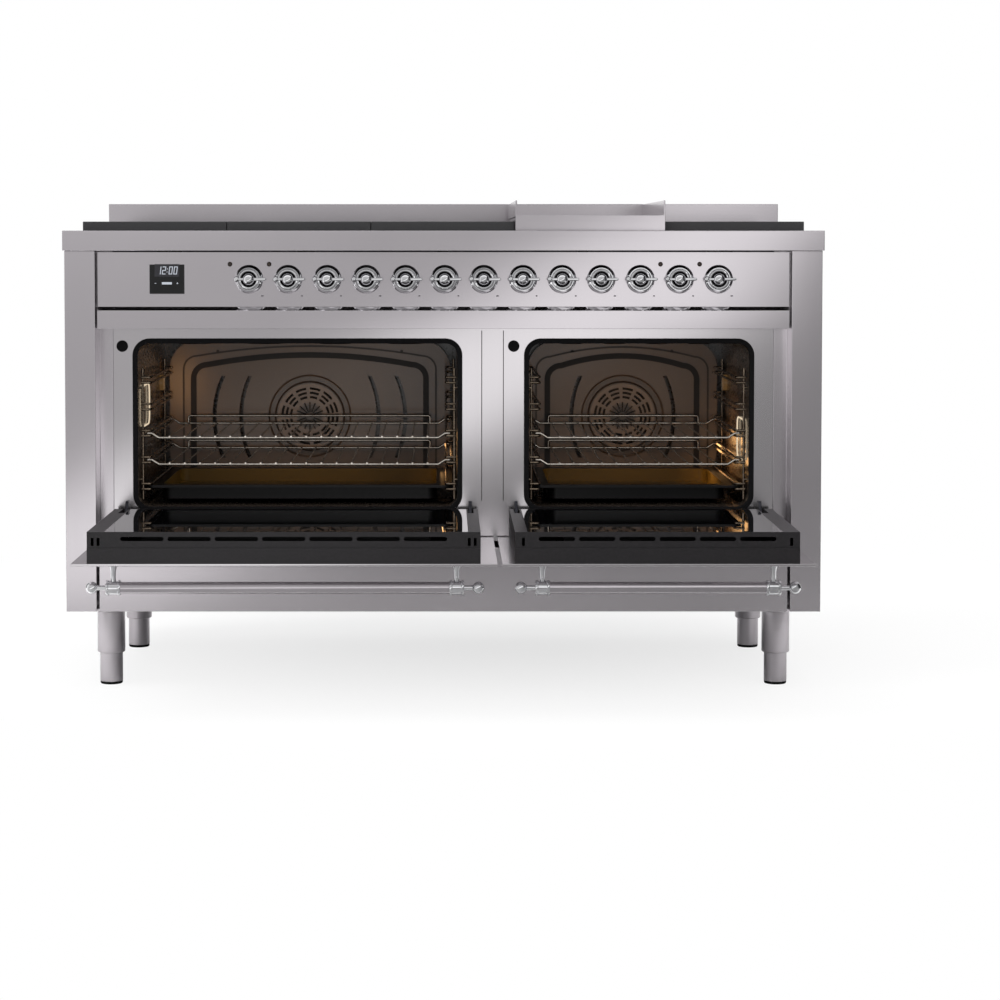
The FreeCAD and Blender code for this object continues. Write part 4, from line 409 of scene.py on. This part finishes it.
def archPath(middle, half, top):  # up the left side, over the arched head and down the right side
    s = pressingShape
    shoulder = top - s["sag"]
    path = [(-half, s["foot"]), (-half, shoulder - s["bend"])]
    for n in range(1, s["bendCuts"]):
        turn = pi / 2 * n / s["bendCuts"]
        path.append((-half + s["bend"] * (1 - cos(turn)), shoulder - s["bend"] * (1 - sin(turn))))
    inner = half - s["bend"]
    for n in range(s["headCuts"] + 1):
        x = -inner + 2 * inner * n / s["headCuts"]
        path.append((x, top - s["sag"] * (x / inner) ** 2))
    path += [(-x, z) for x, z in reversed(path[:s["bendCuts"] + 1])]
    return [(middle + x, z) for x, z in path]


def flatBand(bm, path, width, y):  # a thin strip of even width along a path in the XZ plane
    rows = []
    for n, (x, z) in enumerate(path):
        before, after = path[max(n - 1, 0)], path[min(n + 1, len(path) - 1)]
        along = Vector((after[0] - before[0], after[1] - before[1])).normalized()
        across = Vector((-along.y, along.x)) * width / 2
        rows.append([bm.verts.new((x + way * across.x, y, z + way * across.y)) for way in (-1, 1)])
    for (a, b), (c, d) in zip(rows, rows[1:]):
        bm.faces.new((a, b, d, c))


# Painted shade: flat dark bands along the fold and the groove of each fan cover, with dark screw heads
def coverPressingShade():
    s = pressingShape
    y = coverFront - s["proud"]
    grooveShades, folds = bmesh.new(), bmesh.new()
    for side in sides:
        row = s[side]
        flatBand(folds, archPath(row["middle"], *row["fold"]), s["foldWide"], y)
        flatBand(grooveShades, archPath(row["middle"], *row["groove"]), s["grooveWide"], y)
        for way in (-1, 1):
            centre = Matrix.Translation((row["middle"] + way * row["screws"], y, s["screwHigh"]))
            bmesh.ops.create_circle(folds, cap_ends=True, segments=12, radius=s["screw"],
                                    matrix=centre @ Matrix.Rotation(pi / 2, 4, "X"))
    for bm, name, material in ((grooveShades, "coverGrooveShade", grooveShadePaint), (folds, "coverFoldShadeAndScrews", foldShade)):
        bmesh.ops.recalc_face_normals(bm, faces=bm.faces)
        finishPiece(bm, name, material, "root")


# Metres: corners as (y, z) for the left oven; the right lamp sits lower; the wire stands off the wall
lampRingShape = {"low": (-0.038, 0.518), "high": (0.076, 0.602), "rightDrop": 0.070, "wire": 0.0016,
                 "bend": 0.022, "off": 0.005}


def lampRimGlints():  # a glowing wire ring round the lamp recess in the outer wall of each oven: painted glint on the pressed rim
    s = lampRingShape
    bm = bmesh.new()
    (y0, z0), (y1, z1) = s["low"], s["high"]
    for node, way in (("left_oven_cavity", 1), ("right_oven_cavity", -1)):
        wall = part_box(node)[0].x if way == 1 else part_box(node)[1].x
        x = wall + s["off"] * way
        drop = 0.0 if way == 1 else s["rightDrop"]
        corners = [(x, y0, z0 - drop), (x, y1, z0 - drop), (x, y1, z1 - drop), (x, y0, z1 - drop)]
        wireRing(bm, corners, s["wire"], s["bend"])
    finishPiece(bm, "lampRimGlints", rimPaintedGlint, "root")


seamShape = {"places": (0.0778, 0.1216), "low": 0.372, "high": 0.718, "wide": 0.0016, "proud": 0.0002}


def plateSeams():  # the narrow dark joints beside the plain strip between the ovens
    bm = bmesh.new()
    s = seamShape
    y = ovenFront - s["proud"]
    for x in s["places"]:
        flatBand(bm, [(x, s["low"]), (x, s["high"])], s["wide"], y)
    bmesh.ops.recalc_face_normals(bm, faces=bm.faces)
    finishPiece(bm, "plateSeams", foldShade, "root")


grillShape = {"lift": 0.007, "deep": 0.010}


def ovenElements():  # the folded grill elements sit tight under the roofs, out of sight from the front
    bm = mergedCopy("oven_elements")
    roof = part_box("oven_elements")[1].z
    grill = [v for v in bm.verts if v.co.z > roof - grillShape["deep"]]
    bmesh.ops.translate(bm, vec=(0, 0, grillShape["lift"]), verts=grill)
    finishPiece(bm, "ovenElements", elementSheath, "root", ("oven_elements",))


coverPressingShade()
lampRimGlints()
plateSeams()
ovenElements()

# Folded sheets: the CAD shape with its folds rounded
sheetPieces = [
    ("worktop", "worktopPan", brushedAcross, "root", "brushed_stainless", 0.0012),
    ("backguard", "backguardFold", brushedAcross, "root", "brushed_stainless", 0.0010),
    ("side_panels", "sidePillars", brushedUpright, "root", "brushed_stainless", 0.0010),
    ("control_panel", "controlFascia", brushedAcross, "root", "brushed_stainless", 0.0006),
    ("drawer_front", "drawerFront", brushedAcross, "drawer", "brushed_stainless", 0.0010),
    ("base_panel", "floorSheet", zincSheet, "root", "plain_steel", 0.0006),
    ("griddle_plate", "griddleTray", brushedAcross, "root", "brushed_stainless", 0.0008),
    ("pan_supports", "castSupports", castIron, "root", "cast_iron", 0.0018),
    ("hinge_arms", "hingeClaws", blackedSteel, "root", "black_steel", 0.0006),
    ("door_gaskets", "mouthGaskets", rubber, "root", "black_rubber", 0.0012),
]
for row in sheetPieces:
    softened(*row)


slopeRule = {"lean": 0.4, "area": 0.0001}


def buffedRail():  # the narrow slope of the rail is buffed bright after folding
    rail = softened("front_rail", "frontRail", brushedAcross, "root", "brushed_stainless", 0.0005)
    rail.data.materials.append(buffedFold)
    lean = slopeRule["lean"]
    slope = [f for f in rail.data.polygons
             if f.normal.y < -lean and abs(f.normal.z) > lean and f.area > slopeRule["area"]]
    for face in slope:
        face.material_index = 1
    print("buffed faces", len(slope))


trayWall = 0.002
buffedRail()
for side in sides:
    body = f"{side}_door"
    softened(f"{side}_door_skin", f"{side}DoorSkin", brightSheet, body, "brushed_stainless", 0.0007)
    softened(f"{side}_door_liner", f"{side}DoorLiner", linerPaint, body, "black_enamel", 0.0008)
    tray = softened(f"{side}_tray", f"{side}OvenTray", blackEnamel, f"{side}_tray", "black_enamel", 0.0005)
    tray.data.materials.append(paintedTrayGlow)
    low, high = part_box(f"{side}_tray")
    middle = Vector(((low.x + high.x) / 2, (low.y + high.y) / 2, high.z))
    for face in tray.data.polygons:
        if face.normal.dot(middle - face.center) > trayWall:  # the faces that look into the tray take the painted lamp glow
            face.material_index = 1
print("sheet pieces ready")

knobShape = {  # profiles are (radius, place along Y) in metres
    "centres": [-0.389 + 0.0783 * n for n in range(13)], "height": 0.823,
    "bezel": [(0.0052, -0.0045), (0.0209, -0.0045), (0.0211, -0.0062), (0.0217, -0.0070), (0.0230, -0.0070),
              (0.0238, -0.0062), (0.0282, -0.0020), (0.0286, -0.0014), (0.0286, 0.0)],
    "crown": 0.0124, "crownBase": -0.0108, "crownHigh": 0.0120,
    "skirt": [(0.0126, -0.0072), (0.0151, -0.0072), (0.0154, -0.0122), (0.0162, -0.0135), (0.0178, -0.0142),
              (0.0192, -0.0138), (0.0202, -0.0124), (0.0205, -0.0100), (0.0205, -0.0060), (0.0200, -0.0047),
              (0.0043, -0.0047)],
    "ball": [(0.0, -0.0060), (0.0030, -0.0052), (0.0052, -0.0030), (0.0060, 0.0), (0.0052, 0.0030),
             (0.0, 0.0060)],
    "ballOut": -0.0243, "ballFront": -0.0128, "grooveEdge": 0.0001,
}


def knobRings():
    bm = bmesh.new()
    first = Vector((knobShape["centres"][0], panelFront, knobShape["height"]))
    spun(bm, knobShape["bezel"], first, (0, 1, 0), 56)
    closeUp(bm)
    repeated(bm, [(x - first.x, 0, 0) for x in knobShape["centres"][1:]])
    finishPiece(bm, "knobRings", chromePlate, "root", ("knob_bezels",))


leverShape = {  # the outline seen from the front, as (along, half width) in metres
    "outline": [(-0.0240, 0.0022), (0.0, 0.0031), (0.0300, 0.0028), (0.0338, 0.0022)],
    "back": -0.0098, "front": -0.0168, "edge": 0.0017,
}


def knob(number, x):
    bm = bmesh.new()
    k = knobShape
    centre = Vector((x, panelFront, k["height"]))
    crown = [(k["crown"] * sin(radians(t)), k["crownBase"] - k["crownHigh"] * cos(radians(t)))
             for t in range(0, 91, 9)]
    spun(bm, crown + k["skirt"], centre, (0, 1, 0), 56)
    spun(bm, k["ball"], centre + Vector((k["ballOut"], k["ballFront"], 0)), (0, 1, 0), 24)
    closeUp(bm)
    shape = leverShape
    ends = shape["outline"] + [(a, -h) for a, h in reversed(shape["outline"])]
    verts = [bm.verts.new(centre + Vector((a, shape["back"], h))) for a, h in ends]
    face = bm.faces.new(verts)
    made = bmesh.ops.extrude_face_region(bm, geom=[face])
    raised = [v for v in made["geom"] if isinstance(v, bmesh.types.BMVert)]
    bmesh.ops.translate(bm, vec=(0, shape["front"] - shape["back"], 0), verts=raised)
    edges = {e for v in raised + verts for e in v.link_edges}
    bmesh.ops.bevel(bm, geom=list(edges), offset=shape["edge"], offset_type="OFFSET", affect="EDGES",
                    segments=3, profile=0.5, material=-1)
    bmesh.ops.recalc_face_normals(bm, faces=bm.faces)
    piece = finishPiece(bm, f"knobHandle{number:02d}", chromePlate, f"knob_{number:02d}",
                        (f"knob_{number:02d}",))
    piece.data.materials.append(rubber)
    inner, outer = k["skirt"][0][0] - k["grooveEdge"], k["skirt"][1][0] + k["grooveEdge"]
    for face in piece.data.polygons:
        out = Vector((face.center.x - centre.x, face.center.z - centre.z)).length
        if inner < out < outer and face.center.y > centre.y + k["crownBase"]:
            face.material_index = 1  # the ring groove is painted black: painted shade


knobRings()
for number, x in enumerate(knobShape["centres"], start=1):
    knob(number, x)


lampShape = {
    "centres": [-0.427, -0.3487, 0.4343, 0.5126], "height": 0.853,
    "profile": [(0.0, -0.0024), (0.0018, -0.0023), (0.0034, -0.0017), (0.0043, -0.0006), (0.0045, 0.0)],
}


def indicatorLenses():
    bm = bmesh.new()
    first = Vector((lampShape["centres"][0], panelFront, lampShape["height"]))
    spun(bm, lampShape["profile"], first, (0, 1, 0), 24)
    closeUp(bm)
    repeated(bm, [(x - first.x, 0, 0) for x in lampShape["centres"][1:]])
    finishPiece(bm, "indicatorLenses", smokedLens, "root", ("indicator_lamps",))


markShape = {"below": 0.0335, "across": 0.0035, "broad": 0.0049, "tall": 0.0024, "shift": 0.0275,
             "endShift": 0.0265, "proud": 0.0002}


def knobMarks():  # a small plain tick to the right below each knob
    bm = bmesh.new()
    s = markShape
    last = len(knobShape["centres"]) - 1
    for n, x in enumerate(knobShape["centres"]):
        middle = x + (s["endShift"] if n in (0, last) else s["shift"])
        wide = s["across"] if n % 3 else s["broad"]
        z = knobShape["height"] - s["below"]
        printedBar(bm, (middle - wide / 2, panelFront - s["proud"], z - s["tall"] / 2),
                   (middle + wide / 2, panelFront + s["proud"], z + s["tall"] / 2))
    finishPiece(bm, "knobMarks", inkMark, "root")


clockShape = {  # metres, from the clock's middle
    "centre": (-0.553, 0.823), "digitHigh": 0.0158, "digitWide": 0.0072, "stroke": 0.0016,
    "starts": (-0.0172, -0.0076, 0.0058, 0.0154), "row": 0.0096, "lean": 0.12,
    "back": 0.0025, "dots": (0.0040, 0.0102), "dotEnds": (0.0016, 0.0032),
    "signs": [(-0.023, 0.0034, 0.0010), (0.0, 0.0200, 0.0046), (0.021, 0.0034, 0.0010),
              (0.021, 0.0010, 0.0034)],
    "signRow": -0.0082, "field": (-0.0245, 0.0050, 0.0245, 0.0300), "proud": 0.0003, "thick": 0.0004,
    "filmFront": 0.0002, "filmBack": 0.0005,
}
litSegments = {"1": "bc", "2": "abged", "0": "abcdef"}


def clockDigits():  # leaning seven-segment numbers and three plain key signs
    bm = bmesh.new()
    s = clockShape
    cx, cz = s["centre"]
    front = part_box("clock_module")[0].y - s["proud"]
    back = front + s["thick"]
    t, w, h = s["stroke"], s["digitWide"], s["digitHigh"]
    bars = {"a": (0, h - t, w, t), "g": (0, (h - t) / 2, w, t), "d": (0, 0, w, t), "f": (0, h / 2, t, h / 2),
            "e": (0, 0, t, h / 2), "b": (w - t, h / 2, t, h / 2), "c": (w - t, 0, t, h / 2)}
    for mark, start in zip("1200", s["starts"]):
        for name in litSegments[mark]:
            x, z, across, up = bars[name]
            printedBar(bm, (start + x, front, z), (start + x + across, back, z + up))
    for z in s["dots"]:
        printedBar(bm, (s["dotEnds"][0], front, z), (s["dotEnds"][1], back, z + t))
    for vert in bm.verts:
        vert.co.x += s["lean"] * vert.co.z
    bmesh.ops.translate(bm, vec=(cx - s["back"], 0, cz + s["row"]), verts=bm.verts)
    for x, across, up in s["signs"]:
        z = cz + s["signRow"]
        printedBar(bm, (cx + x - across / 2, front, z - up / 2), (cx + x + across / 2, back, z + up / 2))
    finishPiece(bm, "clockDigits", digitGlow, "root")
    field = bmesh.new()
    x0, z0, x1, z1 = s["field"]
    printedBar(field, (cx + x0, front + s["filmFront"], cz + z0), (cx + x1, front + s["filmBack"], cz + z1))
    finishPiece(field, "clockField", displayFilm, "root")


indicatorLenses()
knobMarks()
softened("clock_module", "clockBody", clockGlass, "root", "clock_glass", 0.0008)
clockDigits()
print("controls ready")

handleShape = {
    "left": (-0.6715, 0.077), "right": (0.134, 0.6715), "radius": 0.0115, "neck": 0.0045, "neckLong": 0.015,
    "neckInset": 0.0006, "collar": 0.0145, "collarLong": 0.028, "edge": 0.0022, "post": 0.0048,
    "lap": 0.004, "slim": 0.0004, "mouth": (0.0010, 0.0005),
    "bead": [(0.0010, 0.2), (0.0, 1.0), (0.0, 2.0), (0.0016, 2.6)],  # drop from the radius, place in edges
    "flare": [(0.0, 0.014), (0.0012, 0.008), (0.0032, 0.003), (0.0034, 0.0)],  # out from the post, down
}


def ballEnd(s, way):  # the half profile of a ball and its neck, from the tip inwards
    r = s["radius"]
    arc = [(r * sin(pi * n / 10), way * (-r * cos(pi * n / 10) + r)) for n in range(0, 9)]
    return arc + [(s["neck"], way * (2 * r - s["neckInset"])), (s["neck"], way * (2 * r + s["neckLong"]))]


def doorHandle(side):
    s = handleShape
    start, end = s[side]
    near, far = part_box(f"{side}_door_handle")
    y, z = (near.y + far.y) / 2, near.z + s["collar"]
    reach = 2 * s["radius"] + s["neckLong"]
    c, r = s["collar"], s["radius"]
    trim = bmesh.new()
    for origin, way in ((start, 1), (end, -1)):
        profile = ballEnd(s, way)
        base = reach * way
        long = s["collarLong"] * way
        half = [(c - drop, s["edge"] * way * n) for drop, n in s["bead"]]
        profile += [(r - s["mouth"][0], base)] + [(out, base + a) for out, a in half]
        profile += [(out, base + long - a) for out, a in reversed(half)] + [(r - s["mouth"][1], base + long)]
        spun(trim, profile, (origin, y, z), (1, 0, 0), 40, start=(0, 1, 0))
        middle = origin + base + long / 2
        rise = skinBottom - z
        flare = [(s["post"] + out, rise - down) for out, down in s["flare"]]
        spun(trim, [(s["post"], 0.0)] + flare + [(0, rise)], (middle, y, z), (0, 0, 1), 32)
    closeUp(trim)
    finishPiece(trim, f"{side}HandleTrim", chromePlate, f"{side}_door", (f"{side}_door_handle",))
    bar = bmesh.new()
    low, high = start + reach + s["lap"], end - reach - s["lap"]
    thin = r - s["slim"]
    spun(bar, [(0, 0), (thin, 0), (thin, high - low), (0, high - low)], (low, y, z), (1, 0, 0), 40,
         start=(0, 1, 0))
    closeUp(bar)
    finishPiece(bar, f"{side}HandleBar", satinBar, f"{side}_door")


for side in sides:
    doorHandle(side)

legShape = {
    "profile": [(0, 0.005), (0.0222, 0.005), (0.0230, 0.0058), (0.0230, 0.0640), (0.0262, 0.0644),
                (0.0276, 0.0656), (0.0280, 0.0672), (0.0280, 0.1480), (0.0300, 0.1490), (0.0334, 0.1505),
                (0.0340, 0.1520), (0.0340, 0.1550), (0, 0.1550)],
    "pad": [(0, 0), (0.0212, 0), (0.0220, 0.0006), (0.0226, 0.0030), (0.0226, 0.0050), (0, 0.0050)],
    "x": 0.676, "front": -0.1005, "back": 0.3635,
}


def legPiece(profile, name, material, stands=()):
    s = legShape
    bm = bmesh.new()
    spun(bm, profile, (-s["x"], s["front"], 0), (0, 0, 1), 56)
    closeUp(bm)
    deep = s["back"] - s["front"]
    repeated(bm, [(2 * s["x"], 0, 0), (0, deep, 0), (2 * s["x"], deep, 0)])
    finishPiece(bm, name, material, "root", stands)


legPiece(legShape["profile"], "legTubes", satinTube, ("legs",))
legPiece(legShape["pad"], "footPads", rubber)
print("handles and legs ready")

burnerShape = {
    "cup": [(0, 0), (0.0505, 0), (0.0520, 0.0010), (0.0520, 0.0026), (0.0490, 0.0055), (0.0448, 0.0092),
            (0.0440, 0.0110), (0, 0.0110)],
    "ring": [(0, 0), (0.0405, 0), (0.0420, 0.0006), (0.0420, 0.0062), (0.0412, 0.0072), (0.0392, 0.0080),
             (0.0370, 0.0084), (0, 0.0084)],
    "cap": [(0, 0.0082), (0.0372, 0.0082), (0.0380, 0.0090), (0.0376, 0.0104), (0.0352, 0.0116),
            (0.0300, 0.0120), (0, 0.0120)],
    "floor": 0.902, "ringLift": 0.011, "ports": 36, "portRim": 0.0006, "portDeep": 0.0025,
    "columns": (-0.5822, -0.2915, -0.0008, 0.5870), "rows": (0.0195, 0.3045),
}


def burnerPiece(profile, lift, name, material, stands=(), ports=False):
    s = burnerShape
    places = [(x, y) for x in s["columns"] for y in s["rows"]]
    bm = bmesh.new()
    z = s["floor"] + lift
    spun(bm, profile, (*places[0], z), (0, 0, 1), s["ports"] * 2)
    closeUp(bm)
    if ports:  # every second facet of the band is pushed in as a flame port
        middle = Vector((*places[0], 0))
        band = [f for f in bm.faces if abs(f.normal.z) < 0.3 and f.calc_center_median().z > z + 0.001]
        chosen = []
        for face in band:
            point = face.calc_center_median() - middle
            turn = int(round((atan2(point.y, point.x) % (2 * pi)) / (2 * pi) * s["ports"] * 2 - 0.5))
            if turn % 2 == 0:
                chosen.append(face)
        made = bmesh.ops.inset_individual(bm, faces=chosen, thickness=s["portRim"], depth=-s["portDeep"])
        print("flame ports", len(chosen), len(made["faces"]))
    repeated(bm, [(x - places[0][0], y - places[0][1], 0) for x, y in places[1:]])
    finishPiece(bm, name, material, "root", stands)


burnerPiece(burnerShape["cup"], 0.0, "burnerCups", shadeDarkAluminium)
ringLift = burnerShape["ringLift"]
burnerPiece(burnerShape["ring"], ringLift, "flameRings", brass, ("burner_caps",), ports=True)
burnerPiece(burnerShape["cap"], ringLift, "burnerCaps", castIron)
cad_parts["burner_bases"].material_slots[0].material = shadeDarkAluminium
print("burners ready")

# The view of the photograph: 5 m before the lip, at worktop height, with the lens tilted and shifted
view = {"lens": 90.25, "sensor": 36, "from": lipFront - 5.0, "height": 0.898, "pitch": 2.6,
        "across": 0.0566, "up": -0.1445}
cameraData = bpy.data.cameras.new("camera")
cameraData.lens = view["lens"]
cameraData.sensor_width = view["sensor"]
cameraData.shift_x = view["across"]
cameraData.shift_y = view["up"]
camera = bpy.data.objects.new("camera", cameraData)
camera.location = (0, view["from"], view["height"])
camera.rotation_euler = Euler((radians(90 - view["pitch"]), 0, 0))
scene.collection.objects.link(camera)
scene.camera = camera


# Painted shade: less plain white is blended in near a point behind the cooker, so the floor is darker there
# than further off
floorLook = {"colour": "#f4f4f4", "near": 0.62, "fadeFrom": 0.25, "fadeTo": 1.7,
             "shadeCentre": (0.15, 0.9, 0.0), "size": 30, "down": 0.0005}


def floorAndWorld():
    # A matt floor that keeps the shadow, blended with plain white where it is seen as the background
    material, tree, shader = newMaterial("paleFloor", {"Roughness": 0.6, "Specular IOR Level": 0.2,
                                                       "Base Color": hexColour(floorLook["colour"])})
    rays = addNode(tree, "ShaderNodeLightPath").outputs
    shown = addNode(tree, "ShaderNodeMath", {"operation": "MAXIMUM"},
                    feeds=(rays["Is Camera Ray"], rays["Is Transmission Ray"]))
    place = addNode(tree, "ShaderNodeTexCoord")
    away = addNode(tree, "ShaderNodeVectorMath", {"operation": "DISTANCE"},
                   feeds=(place.outputs["Object"], floorLook["shadeCentre"]))
    fade = addNode(tree, "ShaderNodeMapRange",
                   {"From Min": floorLook["fadeFrom"], "From Max": floorLook["fadeTo"],
                    "To Min": floorLook["near"], "To Max": 1.0}, {"Value": away.outputs["Value"]})
    share = addNode(tree, "ShaderNodeMath", {"operation": "MULTIPLY"},
                    feeds=(shown.outputs[0], fade.outputs["Result"]))
    plain = addNode(tree, "ShaderNodeEmission", {"Color": hexColour("#ffffff"), "Strength": 1.0})
    mixed = addNode(tree, "ShaderNodeMixShader", feeds=(share.outputs[0], shader.outputs["BSDF"],
                                                        plain.outputs[0]))
    output = next(node for node in tree.nodes if node.type == "OUTPUT_MATERIAL")
    tree.links.new(mixed.outputs[0], output.inputs["Surface"])
    bm = bmesh.new()
    bmesh.ops.create_grid(bm, x_segments=1, y_segments=1, size=floorLook["size"])
    mesh = bpy.data.meshes.new("studioFloor")
    bm.to_mesh(mesh)
    bm.free()
    mesh.materials.append(material)
    floor = bpy.data.objects.new("studioFloor", mesh)
    floor.location.z = -floorLook["down"]
    scene.collection.objects.link(floor)
    world = bpy.data.worlds.new("studioWorld")
    scene.world = world
    world.use_nodes = True
    tree = world.node_tree
    tree.nodes.clear()
    rays = addNode(tree, "ShaderNodeLightPath").outputs
    seen = addNode(tree, "ShaderNodeMath", {"operation": "MAXIMUM"},
                   feeds=(rays["Is Camera Ray"], rays["Is Glossy Ray"]))
    shown = addNode(tree, "ShaderNodeMath", {"operation": "MAXIMUM"},
                    feeds=(seen.outputs[0], rays["Is Transmission Ray"]))
    fill = addNode(tree, "ShaderNodeBackground", {"Color": hexColour("#ffffff"), "Strength": 0.75})
    white = addNode(tree, "ShaderNodeBackground", {"Color": hexColour("#ffffff"), "Strength": 1.0})
    both = addNode(tree, "ShaderNodeMixShader", feeds=(shown.outputs[0], fill.outputs[0], white.outputs[0]))
    addNode(tree, "ShaderNodeOutputWorld", links={"Surface": both.outputs[0]})


def softbox(name, place, aim, size, power, colour="#ffffff"):
    data = bpy.data.lights.new(name, "AREA")
    data.shape = "RECTANGLE"
    data.size, data.size_y = size
    data.energy = power
    data.color = hexColour(colour)[:3]
    lamp = bpy.data.objects.new(name, data)
    lamp.location = place
    lamp.rotation_euler = (Vector(aim) - Vector(place)).to_track_quat("-Z", "Y").to_euler()
    scene.collection.objects.link(lamp)
    return lamp


def studioCard(name, corner, edges, along, span, stops, strength, lean=None):
    # A card that only reflections see, from one corner along two edges. Its tone changes with the distance
    # along one direction. Above a given height that direction leans over, and the pattern narrows.
    material = bpy.data.materials.new(name)
    material.use_nodes = True
    tree = material.node_tree
    tree.nodes.clear()
    place = addNode(tree, "ShaderNodeTexCoord")
    reach = addNode(tree, "ShaderNodeVectorMath", {"operation": "DOT_PRODUCT"},
                    feeds=(place.outputs["Object"], along))
    distance = reach.outputs["Value"]
    if lean:
        height, rate, pinch = lean
        middle = (span[0] + span[1]) / 2
        split = addNode(tree, "ShaderNodeSeparateXYZ", links={"Vector": place.outputs["Object"]})
        above = addNode(tree, "ShaderNodeMapRange", {"From Min": height, "From Max": height + 1},
                        {"Value": split.outputs["Z"]}).outputs["Result"]
        leant = addNode(tree, "ShaderNodeMath", {"operation": "MULTIPLY_ADD"}, feeds=(above, rate, distance))
        off = addNode(tree, "ShaderNodeMath", {"operation": "SUBTRACT"}, feeds=(leant.outputs[0], middle))
        scale = addNode(tree, "ShaderNodeMath", {"operation": "MULTIPLY_ADD"}, feeds=(above, pinch, 1.0))
        distance = addNode(tree, "ShaderNodeMath", {"operation": "MULTIPLY_ADD"},
                           feeds=(off.outputs[0], scale.outputs[0], middle)).outputs[0]
    share = addNode(tree, "ShaderNodeMapRange", {"From Min": span[0], "From Max": span[1]},
                    {"Value": distance})
    ramp = addNode(tree, "ShaderNodeValToRGB", links={"Fac": share.outputs["Result"]}, stops=stops)
    lit = addNode(tree, "ShaderNodeEmission", {"Strength": strength}, {"Color": ramp.outputs["Color"]})
    addNode(tree, "ShaderNodeOutputMaterial", links={"Surface": lit.outputs[0]})
    corner, across, up = Vector(corner), Vector(edges[0]), Vector(edges[1])
    bm = bmesh.new()
    bm.faces.new([bm.verts.new(c) for c in (corner, corner + across, corner + across + up, corner + up)])
    mesh = bpy.data.meshes.new(name)
    bm.to_mesh(mesh)
    bm.free()
    mesh.materials.append(material)
    card = bpy.data.objects.new(name, mesh)
    for ray in ("visible_camera", "visible_diffuse", "visible_shadow", "visible_transmission",
                "visible_volume_scatter"):
        setattr(card, ray, False)
    scene.collection.objects.link(card)


floorAndWorld()
# A room of cards: the steel mirrors a slanting bright band on the card in front, and the dark cards at the
# side and overhead give the castings their edges
room = {"half": 2.2, "near": -1.45, "back": 1.6, "low": 0.01, "high": 2.6, "floor": 0.004, "floorBack": -0.5}
half, near, low, high = room["half"], room["near"], room["low"], room["high"]
wideEdge, deepEdge, tallEdge = (2 * half, 0, 0), (0, room["back"] - near, 0), (0, 0, high - low)
depthSpan = (near, room["back"])
studioCard("frontCard", (-half, near, low), (wideEdge, tallEdge), (0.41, 0.0, -0.912), (-1.275, 0.325),
           [(0.0, "#b8b8b8"), (0.06, "#adadad"), (0.13, "#a6a6a6"), (0.20, "#ababab"), (0.30, "#a3a3a3"),
            (0.36, "#989898"), (0.43, "#f8f8f8"), (0.565, "#fdfdfd"), (0.63, "#8e8e8e"), (0.70, "#858585"),
            (1.0, "#828282")], 1.4, (0.70, 0.44, 2.4))
studioCard("lowCard", (-half, near, room["floor"]), (wideEdge, (0, room["floorBack"] - near, 0)),
           (1.0, 0.0, 0.0), (-0.9, 0.9),
           [(0.0, "#d8d8d8"), (0.15, "#bebebe"), (0.5, "#b2b2b2"), (0.85, "#9a9a9a"), (1.0, "#a8a8a8")], 1.0)
studioCard("topCard", (-half, near, high), (wideEdge, deepEdge), (0.0, 1.0, 0.0), depthSpan,
           [(0.0, "#ffffff"), (0.30, "#ffffff"), (0.32, "#6c6c6e"), (0.37, "#666668"), (0.43, "#2e2e30"),
            (1.0, "#2a2a2c")], 1.3)
studioCard("leftCard", (-half, near, low), (deepEdge, tallEdge), (0.0, 1.0, 0.0), depthSpan,
           [(0.0, "#8a8a8a"), (0.06, "#ffffff"), (0.48, "#ffffff"), (0.54, "#3a3a3c"), (1.0, "#303032")], 1.0)
studioCard("rightCard", (half, near, low), (deepEdge, tallEdge), (0.0, 1.0, 0.0), depthSpan,
           [(0.0, "#58585a"), (0.3, "#38383a"), (1.0, "#303032")], 1.0)
softbox("keyLamp", (-2.6, -1.4, 4.2), (0, 0.1, 0.4), (2.2, 2.2), 130)
softbox("fillLamp", (2.2, -4.0, 3.2), (0, 0, 0.5), (3.0, 2.0), 60)
softbox("topLamp", (0.2, -0.6, 4.6), (0, 0, 0.6), (4.0, 2.5), 90)
warm = "#ffc07a"
# The warm lamps in the ovens are too plain to be mirrored, all but the two that face the side walls
for name, place, aim, size, power in (
        ("leftOvenBulb", (-0.585, 0.300, 0.585), (-0.592, 0.372, 0.575), (0.04, 0.10), 0.10),
        ("leftOvenWash", (-0.300, 0.060, 0.520), (-0.300, 0.372, 0.440), (0.40, 0.10), 0.50),
        ("leftOvenGlow", (-0.060, 0.180, 0.460), (0.030, 0.180, 0.430), (0.10, 0.10), 0.16),
        ("rightOvenWash", (0.400, 0.060, 0.520), (0.420, 0.372, 0.430), (0.30, 0.10), 0.50),
        ("rightOvenGlow", (0.530, 0.180, 0.460), (0.622, 0.180, 0.430), (0.10, 0.14), 0.45)):
    softbox(name, place, aim, size, power, warm).visible_glossy = False
softbox("leftOvenSpark", (0.000, 0.240, 0.450), (0.030, 0.240, 0.445), (0.08, 0.08), 0.06, warm)
softbox("rightOvenSpark", (0.590, 0.240, 0.450), (0.622, 0.240, 0.440), (0.08, 0.08), 0.10, warm)

scene.view_settings.view_transform = "Standard"
print("camera, lamps and floor ready")
